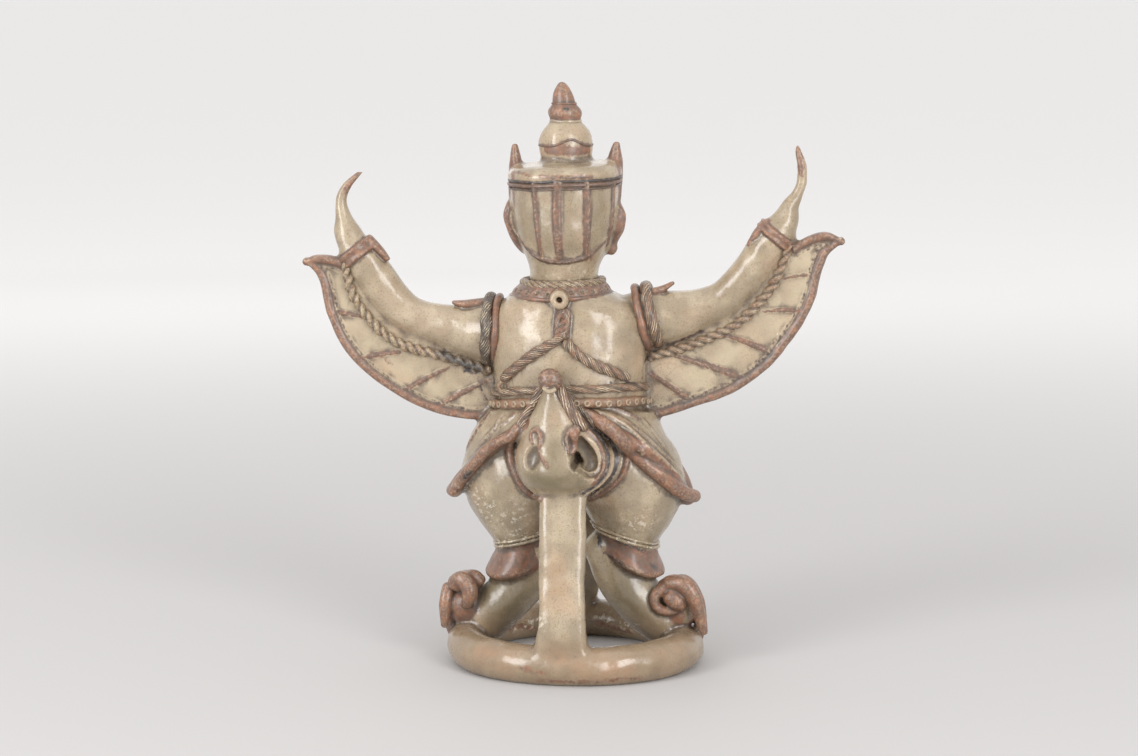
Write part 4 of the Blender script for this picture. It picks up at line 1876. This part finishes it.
# %% Strokes placed by eye: strength, radius in millimetres, pixels of the photo
# Black and iron are thick and thin wash, chalk is a dry pale dust, orange a flush from the flame, and cream
# and olive are glaze that ran pale or pooled dark.
STROKES = {
    "black": [
        (0.9, 4.4, [(442, 353), (456, 360), (468, 365), (480, 370)]),
        (0.45, 3.4, [(396, 330), (412, 340), (428, 347)]), (0.7, 2.4, [(472, 372), (480, 386), (486, 400)]),
        (0.9, 3.0, [(466, 368), (467, 371)]), (0.8, 1.6, [(493, 362), (494, 376), (494, 392)]),
        (0.8, 2.0, [(644, 362), (656, 349), (680, 341), (702, 331)]),
        (0.6, 2.6, [(642, 368), (643, 388), (645, 408)]),
        (0.7, 2.4, [(682, 404), (710, 391), (748, 373), (772, 353)]),
        (0.9, 1.7, [(610, 382), (622, 381), (637, 384)]), (0.5, 4.0, [(650, 410), (656, 416)]),
        (0.85, 2.2, [(465, 478), (470, 472)]), (0.6, 3.0, [(503, 551), (510, 549)]),
        (0.9, 2.4, [(599, 536), (600, 546)]), (0.8, 1.4, [(604, 553), (622, 564)]),
        (0.8, 2.4, [(651, 565), (656, 568)]), (0.5, 2.2, [(618, 546), (630, 556), (640, 562)]),
        (0.8, 0.9, [(558, 102), (577, 102)]), (0.9, 1.4, [(564, 109), (568, 109)]),
        (0.4, 3.0, [(569, 260), (575, 270), (580, 276)]), (0.35, 3.6, [(486, 413), (502, 415)]),
        (0.35, 2.6, [(640, 420), (655, 436)]), (0.9, 1.0, [(596, 533), (620, 543), (654, 554)]),
        (0.8, 1.0, [(494, 552), (515, 547), (540, 541)]), (0.45, 3.4, [(460, 480), (466, 484)]),
        (0.4, 3.0, [(680, 492), (688, 496)]), (0.35, 2.2, [(482, 462), (500, 447), (512, 437)]),
        (0.35, 2.2, [(640, 446), (660, 462), (676, 478)]), (0.6, 1.6, [(742, 372), (760, 358), (775, 340)]),
        (0.55, 1.3, [(328, 262), (335, 290), (350, 322), (366, 342)]),
        (0.45, 1.2, [(815, 262), (806, 292), (790, 322), (764, 350)]),
        (0.6, 1.4, [(518, 243), (525, 251), (534, 257)]), (0.5, 1.4, [(598, 256), (606, 248), (612, 240)]),
        (0.6, 1.1, [(621, 184), (620, 203)]), (0.9, 2.4, [(575, 455), (576, 463)]),
        (0.6, 1.3, [(552, 177.6), (575, 177.6), (600, 177)]), (0.5, 2.0, [(588, 190), (592, 186)]),
        (0.35, 5.0, [(546, 378), (554, 384)]), (0.5, 2.2, [(592, 436), (600, 448), (604, 460)]),
        (0.5, 1.6, [(420, 342), (440, 352)]),
    ],
    "iron": [
        (0.5, 3.0, [(580, 260), (592, 258)]), (0.8, 3.2, [(547, 149), (560, 150), (575, 151), (588, 149)]),
        (0.8, 2.4, [(361, 172), (352, 181), (347, 190)]), (0.8, 2.4, [(798, 148), (800, 160), (801, 172)]),
        (0.3, 5.0, [(484, 414), (500, 416)]), (0.5, 3.6, [(630, 440), (650, 452), (668, 470)]),
        (0.4, 4.0, [(522, 668), (540, 672)]), (0.45, 2.6, [(540, 681), (590, 682), (640, 678)]),
        (0.8, 3.6, [(604, 535), (622, 545), (642, 554)]), (0.8, 2.8, [(500, 554), (515, 550), (536, 543)]),
        (0.75, 4.0, [(506, 208), (506, 222), (511, 236), (519, 247)]),
        (0.75, 3.6, [(624, 208), (623, 222), (619, 236), (615, 246)]),
        (0.7, 2.6, [(513, 172), (513, 188), (514, 204)]), (0.7, 2.6, [(619, 166), (620, 185), (619, 203)]),
        (0.5, 2.4, [(508, 630), (520, 626), (534, 629)]), (0.5, 2.4, [(598, 622), (612, 627), (632, 632)]),
        (0.6, 1.8, [(541, 177), (560, 177.4), (592, 177)]), (0.5, 1.8, [(518, 172), (530, 176)]),
        (0.5, 1.8, [(386, 360), (392, 366)]),
    ],
    "chalk": [
        (0.75, 8.0, [(470, 490), (482, 505), (496, 520)]), (0.6, 7.0, [(520, 510), (515, 530)]),
        (0.5, 6.0, [(630, 525), (650, 520)]), (0.9, 2.6, [(496, 544), (515, 541), (538, 535)]),
        (0.9, 2.6, [(598, 531), (620, 539), (650, 548)]), (0.5, 4.0, [(546, 282), (575, 280)]),
        (0.5, 2.6, [(573, 264), (580, 272), (590, 278)]), (0.8, 4.0, [(512, 626), (528, 623), (540, 622)]),
        (0.8, 4.0, [(600, 618), (620, 622), (636, 628)]),
    ],
    "orange": [
        (0.9, 6.0, [(474, 652), (488, 655), (502, 660)]), (0.8, 4.5, [(551, 655), (560, 662)]),
        (0.9, 6.0, [(576, 670), (600, 671), (625, 668)]), (0.5, 5.0, [(660, 655), (680, 645)]),
        (0.35, 6.0, [(556, 560), (557, 600)]), (0.8, 2.6, [(378, 360), (392, 371), (406, 380)]),
    ],
    "cream": [
        (0.8, 9.0, [(337, 282), (348, 312), (372, 350), (412, 376), (452, 396)]),
        (0.8, 9.0, [(806, 258), (796, 290), (768, 325), (735, 352), (690, 378)]),
    ],
    "olive": [
        (0.45, 7.0, [(545, 196), (547, 240)]), (0.45, 7.0, [(571, 196), (572, 246)]),
        (0.45, 7.0, [(599, 196), (597, 236)]), (1.0, 9.0, [(536, 478), (552, 483), (574, 481)]),
        (0.8, 6.0, [(554, 446), (555, 472)]), (0.9, 6.0, [(582, 446), (584, 462)]),
        (0.7, 4.0, [(533, 452), (534, 464)]), (0.7, 9.0, [(490, 588), (510, 606)]),
        (0.7, 9.0, [(622, 590), (640, 612)]),
    ],
}
print(sum(len(strokes) for strokes in STROKES.values()), "strokes to paint")

# %% Painting with the strokes
COVERED_BY_BLACK = ("worn", "hair")
TRAIL_STEPS = 12
figure_tree, _ = surface_of([{"points": skin_points, "faces": skin_faces.tolist()}] + LAID)


def trail_of(pixels):
    """The spots on the finished figure that a stroke runs through."""
    dense = spline([(u, v, 0) for u, v in pixels], TRAIL_STEPS)
    found = [seen(pixel, figure_tree)[0] for pixel in dense]
    return np.array([spot for spot in found if spot is not None])


def paint(fields, spots):
    """Adds the strokes to the fields of a piece with corners at these spots."""
    for what, strokes in STROKES.items():
        for strong, radius, pixels in strokes:
            trail = trail_of(pixels)
            low, high = trail.min(0) - 2 * radius, trail.max(0) + 2 * radius
            near = np.flatnonzero(np.all((spots > low) & (spots < high), axis=1))
            if not len(near):
                continue
            away = np.min(np.linalg.norm(spots[near, None] - trail[None], axis=2), axis=1)
            share = strong * np.exp(-((away / radius) ** 2))
            fields[what][near] = np.maximum(fields[what][near], share)
            for covered in COVERED_BY_BLACK:
                if what == "black" and covered in fields:
                    fields[covered][near] *= 1 - share


def keep(mesh, fields):
    """Writes fields on a mesh as attributes of its corners."""
    for name, values in fields.items():
        layer = mesh.attributes.new(name, "FLOAT", "POINT")
        layer.data.foreach_set("value", np.asarray(values, np.float32))
    mesh.polygons.foreach_set("use_smooth", np.ones(len(mesh.polygons), bool))
    mesh.update()


paint(skin_fields, skin_points)
keep(skin_mesh, {**skin_fields, "crease": crease.clip(0, 1), "edge": edge.clip(0, 1)})
skin_mesh.vertices.foreach_set("co", (skin_points * MM).ravel())
skin_mesh.update()
print("the skin is painted")


# %% Gather and paint the laid cords
GROOVE_START = 0.45
CREST_END = 0.35
CREST_EDGE = 0.7
PLAIN_EDGE = 0.35
CHEST_LINE = RING_HEIGHT + 147


def gathered(forms, name):
    """One mesh from laid forms, with their marks and their shares of wash."""
    mesh = mesh_of(forms, name)
    spots = np.vstack([form["points"] for form in forms])
    sizes = [len(form["points"]) for form in forms]
    fields = {key: np.repeat([form[key] for form in forms], sizes) for key in (*BRUSHED, "hair")}
    for key in ("groove", "east", "north"):
        marks = [form["marks"].get(key, np.zeros(size)) for form, size in zip(forms, sizes)]
        fields[key] = np.concatenate(marks)
    fields.update({key: np.zeros(len(spots)) for key in TINTS})
    paint(fields, spots)
    scored = fields["hair"] > 0
    groove_share = (fields["groove"] - GROOVE_START) / (1 - GROOVE_START)
    fields["crease"] = np.where(scored, groove_share.clip(0, 1), 0.0)
    crest_share = (1 - fields["groove"] / CREST_END).clip(0, 1)
    fields["edge"] = np.where(scored, crest_share * CREST_EDGE, PLAIN_EDGE)
    keep(mesh, fields)
    mesh.vertices.foreach_set("co", (spots * MM).ravel())
    mesh.update()
    return mesh


heights = [form["points"][:, 2].mean() for form in LAID]
cords_mesh = gathered([form for form, z in zip(LAID, heights) if z > CHEST_LINE], "cords_and_ropes")
bands_mesh = gathered([form for form, z in zip(LAID, heights) if z <= CHEST_LINE], "belts_and_bands")
for mesh in (cords_mesh, bands_mesh):
    print(mesh.name, sum(len(face.vertices) - 2 for face in mesh.polygons), "triangles")

# %% [markdown]
# ## The glaze
#
# The material is stoneware under an ash glaze, fired in a wood kiln: a glassy, grey-green to beige skin,
# with brown specks where iron in the clay came through, fine crackle, and brushed iron that went rust red
# where thin, purple-grey where it met the glaze and blue-black where it was thick. Glass has an IOR near
# 1.5 and little roughness; the brushed iron is drier and rougher than the clear glaze.

# %% Patterns of the glaze and the wash
glaze.use_nodes = True
shade = glaze.node_tree
shader = shade.nodes["Principled BSDF"]
where = put(shade, "ShaderNodeTexCoord").outputs["Object"]
# Most patches are as wide as real ones. Specks of iron and the grain of the skin are finer than a
# millimetre on real ware, and are drawn coarser here, so that they show.
PATTERNS = {  # width of a patch in millimetres, detail, roughness
    "drift": (38, 3, 0.5), "current": (30, 3, 0.5), "milk": (10, 4, 0.5), "ash": (5, 4, 0.5),
    "grit": (0.9, 2, 0.5), "heat": (24, 3, 0.5), "blush": (26, 4, 0.5), "flame": (9, 5, 0.5),
    "bristle": (2.2, 5, 0.62), "firing": (5, 5, 0.6), "thin": (2.6, 4, 0.55), "haze": (3, 5, 0.6),
    "rub": (1.4, 4, 0.55), "score": (2.2, 3, 0.5), "catch": (5, 4, 0.5), "chalking": (2.6, 5, 0.65),
    "melt": (14, 3, 0.5), "skin": (1.6, 3, 0.5), "dent": (7, 2, 0.5),
}
look = {"height": put(shade, "ShaderNodeSeparateXYZ", {0: where}).outputs[2]}
for name, (size, detail, rough) in PATTERNS.items():
    look[name] = put(shade, "ShaderNodeTexNoise", {
        "Vector": where, "Scale": 1 / (size * MM), "Detail": detail, "Roughness": rough,
    }).outputs["Fac"]
print(len(PATTERNS), "patterns")

# %% Painted marks and crackle
CRACKLE = 3.4  # real crackle has cells of 1 to 2 mm; these are drawn coarser, so that they show
for name in (*BRUSHED, "hair", *TINTS, "crease", "edge", "east", "north"):
    look[name] = put(shade, "ShaderNodeAttribute", attribute_name=name).outputs["Fac"]
look["cell"] = put(shade, "ShaderNodeTexVoronoi", {
    "Vector": where, "Scale": 1 / (CRACKLE * MM),
}, feature="DISTANCE_TO_EDGE").outputs["Distance"]
print(len(look), "patterns and painted marks")

# %% Shares taken from the patterns and marks
SHARES = {  # pattern or mark, where it starts, where it is full, least, most
    "low down": ("height", 0.17, 0.06, 0, 1), "warm patch": ("drift", 0.35, 0.65, 0, 1),
    "cool patch": ("current", 0.35, 0.65, 0, 1), "milky": ("milk", 0.42, 0.72, 0, 0.6),
    "blushed": ("blush", 0.48, 0.68, 0, 0.5), "ashy": ("ash", 0.5, 0.75, 0, 0.5),
    "specks": ("grit", 0.56, 0.68, 0, 0.55), "crackle line": ("cell", 0.015, 0.05, 0.3, 0),
    "crackle zone": ("heat", 0.4, 0.6, 0, 1), "flashing": ("flame", 0.3, 0.62, 0.1, 0.75),
    "dark rust": ("firing", 0.38, 0.62, 0, 1), "thin rust": ("thin", 0.5, 0.75, 0, 0.45),
    "purple haze": ("haze", 0.42, 0.62, 0, 0.75), "black bristles": ("bristle", 0.2, 0.8, -0.22, 0.22),
    "iron bristles": ("bristle", 0.2, 0.8, -0.2, 0.2), "rubbed": ("rub", 0.3, 0.6, 0, 1),
    "wobble": ("score", 0.2, 0.8, -1.6, 1.6), "caught": ("catch", 0.42, 0.58, 0, 1),
    "pooling": ("bristle", 0.3, 0.6, 0.45, 0.75), "creased": ("crease", 0.2, 0.85, 0, 1),
    "raised": ("edge", 0.4, 0.9, 0, 0.24), "patchy": ("rub", 0.47, 0.6, 0, 1),
    "dusty": ("chalking", 0.54, 0.62, 0, 1), "melted": ("melt", 0.3, 0.7, 0.19, 0.33),
    "pooled olive": ("milk", 0.3, 0.6, 0.5, 0.9), "tan foot": ("height", 0.034, 0.02, 0, 0.55),
}
for name, (base, start, full, least, most) in SHARES.items():
    look[name] = put(shade, "ShaderNodeMapRange", {
        "Value": look[base], "From Min": start, "From Max": full, "To Min": least, "To Max": most,
    }, interpolation_type="SMOOTHSTEP").outputs[0]
print(len(SHARES), "shares")

# %% Where the brush went
HAIRS = 13  # scored lines round a cord, fewer and coarser than the potter's, so that they show
BRUSHWORK = [
    ("crackle", "MULTIPLY", "crackle line", "crackle zone"), ("flashed", "MULTIPLY", "orange", "flashing"),
    ("olive pool", "MULTIPLY", "olive", "pooled olive"), ("cream run", "MULTIPLY", "cream", "pooled olive"),
    ("black brushed", "ADD", "black", "black bristles"), ("iron brushed", "ADD", "iron", "iron bristles"),
    ("turn", "ARCTAN2", "north", "east"), ("turns", "MULTIPLY", "turn", HAIRS),
    ("run", "ADD", "turns", "wobble"), ("lines", "SINE", "run", 0),
    ("pool", "MULTIPLY", "creased", "pooling"), ("wear", "MULTIPLY", "raised", "patchy"),
    ("rubbed back", "MULTIPLY", "worn", "rubbed"), ("dust", "MULTIPLY", "chalk", "dusty"),
]
for name, operation, first, second in BRUSHWORK:
    look[name] = put(shade, "ShaderNodeMath", {
        0: look[first], 1: look[second] if isinstance(second, str) else float(second),
    }, operation=operation).outputs[0]
print(len(BRUSHWORK), "sums of patterns")

# %% Blue-black, and the scored lines of the cords
BRUSHED_SHARES = {  # sum, where it starts, where it is full, most
    "purple": ("black brushed", 0.25, 0.6, 1), "blue-black": ("black brushed", 0.55, 0.85, 1),
    "any black": ("black brushed", 0.45, 0.75, 1), "any iron": ("iron brushed", 0.25, 0.5, 1),
    "crests": ("lines", 0.55, 0.95, 0.8), "valleys": ("lines", -0.5, -0.95, 0.55),
}
LINE_SUMS = [
    ("covered", "MAXIMUM", "any iron", "any black"), ("dark line", "MULTIPLY", "valleys", "hair"),
    ("crest on hair", "MULTIPLY", "crests", "hair"), ("pale line", "MULTIPLY", "crest on hair", "caught"),
    ("scored", "MULTIPLY", "lines", "hair"),
]
for name, (base, start, full, most) in BRUSHED_SHARES.items():
    look[name] = put(shade, "ShaderNodeMapRange", {
        "Value": look[base], "From Min": start, "From Max": full, "To Max": most,
    }, interpolation_type="SMOOTHSTEP").outputs[0]
for name, operation, first, second in LINE_SUMS:
    inputs = {0: look[first], 1: look[second]}
    look[name] = put(shade, "ShaderNodeMath", inputs, operation=operation).outputs[0]
print(len(look), "patterns, marks, shares and sums")

# %% Colour, layer on layer
LAYERS = [  # what is laid on what, by which share
    ("warm glaze", "#8b7c67", "warm patch", "#9c8b75"), ("cool glaze", "#857964", "cool patch", "#998a75"),
    ("rust", "#885f47", "dark rust", "#6b4b3b"),
    ("glaze", "warm glaze", "low down", "cool glaze"), ("glaze", "glaze", "milky", "#b8a991"),
    ("glaze", "glaze", "blushed", "#af957b"), ("glaze", "glaze", "ashy", "#8d7e5e"),
    ("glaze", "glaze", "specks", "#735b3e"), ("glaze", "glaze", "crackle", "#7d6d50"),
    ("glaze", "glaze", "flashed", "#b48a69"), ("glaze", "glaze", "olive pool", "#655a42"),
    ("glaze", "glaze", "cream run", "#ad9e85"), ("glaze", "glaze", "tan foot", "#7f6851"),
    ("wash", "rust", "thin rust", "#a08069"), ("wash", "wash", "purple haze", "#6b574b"),
    ("wash", "wash", "purple", "#5d4b40"), ("wash", "wash", "blue-black", "#302d2e"),
    ("wash", "wash", "rubbed back", "#bba988"), ("all", "glaze", "covered", "wash"),
    ("all", "all", "dark line", "#4a3d37"), ("all", "all", "pale line", "#dccbab"),
    ("all", "all", "pool", "#4b3f36"), ("all", "all", "wear", "#bda88d"), ("all", "all", "dust", "#d8cebd"),
]


def colour_of(name):
    """A colour written in hex, or one that is mixed already."""
    return linear(name) if name.startswith("#") else look[name]


for name, below, share, above in LAYERS:
    look[name] = put(shade, "ShaderNodeMix", {
        0: look[share], 6: colour_of(below), 7: colour_of(above),
    }, data_type="RGBA").outputs[2]
shade.links.new(look["all"], shader.inputs["Base Color"])
print(len(LAYERS), "layers of colour")

# %% Gloss: iron and dust are dry, the glaze is glass, with a soft second skin
IRON_DRYNESS = 0.22
DUST_DRYNESS = 0.4
GLASS_IOR = 1.5
COAT = {"Coat Weight": 0.4, "Coat Roughness": 0.22, "Coat IOR": GLASS_IOR}

for mark, dryness in (("covered", IRON_DRYNESS), ("dust", DUST_DRYNESS)):
    look["melted"] = put(shade, "ShaderNodeMath", {
        0: look[mark], 1: dryness, 2: look["melted"],
    }, operation="MULTIPLY_ADD").outputs[0]
shade.links.new(look["melted"], shader.inputs["Roughness"])
for name, value in {"IOR": GLASS_IOR, **COAT}.items():
    shader.inputs[name].default_value = value
print("the glass has an IOR of", GLASS_IOR)

# %% Fine relief
RELIEF = (("scored", 0.7, 0.3), ("skin", 0.3, 0.15), ("dent", 0.6, 0.8))  # strength, depth in millimetres
below = None
for height, strength, depth in RELIEF:
    inputs = {"Height": look[height], "Strength": strength, "Distance": depth * MM}
    if below:
        inputs["Normal"] = below
    below = put(shade, "ShaderNodeBump", inputs).outputs[0]
shade.links.new(below, shader.inputs["Normal"])
print("the glaze has", len(shade.nodes), "nodes")

# %% [markdown]
# ## Into the frame
#
# The finished pieces stand for the plain solid, ride on the fixed body, and take their finish from the one
# material slot. Their box is written beside the solid's, to be compared.

# %% Dress the node and finish
PIECES = {"garuda_skin": skin_mesh, "cords_and_ropes": cords_mesh, "belts_and_bands": bands_mesh}
for name, mesh in PIECES.items():
    mesh.materials.clear()
    mesh.materials.append(glaze)
    piece = bpy.data.objects.new(name, mesh)
    bpy.context.collection.objects.link(piece)
    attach(piece, "root")
    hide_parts("garuda_figure")
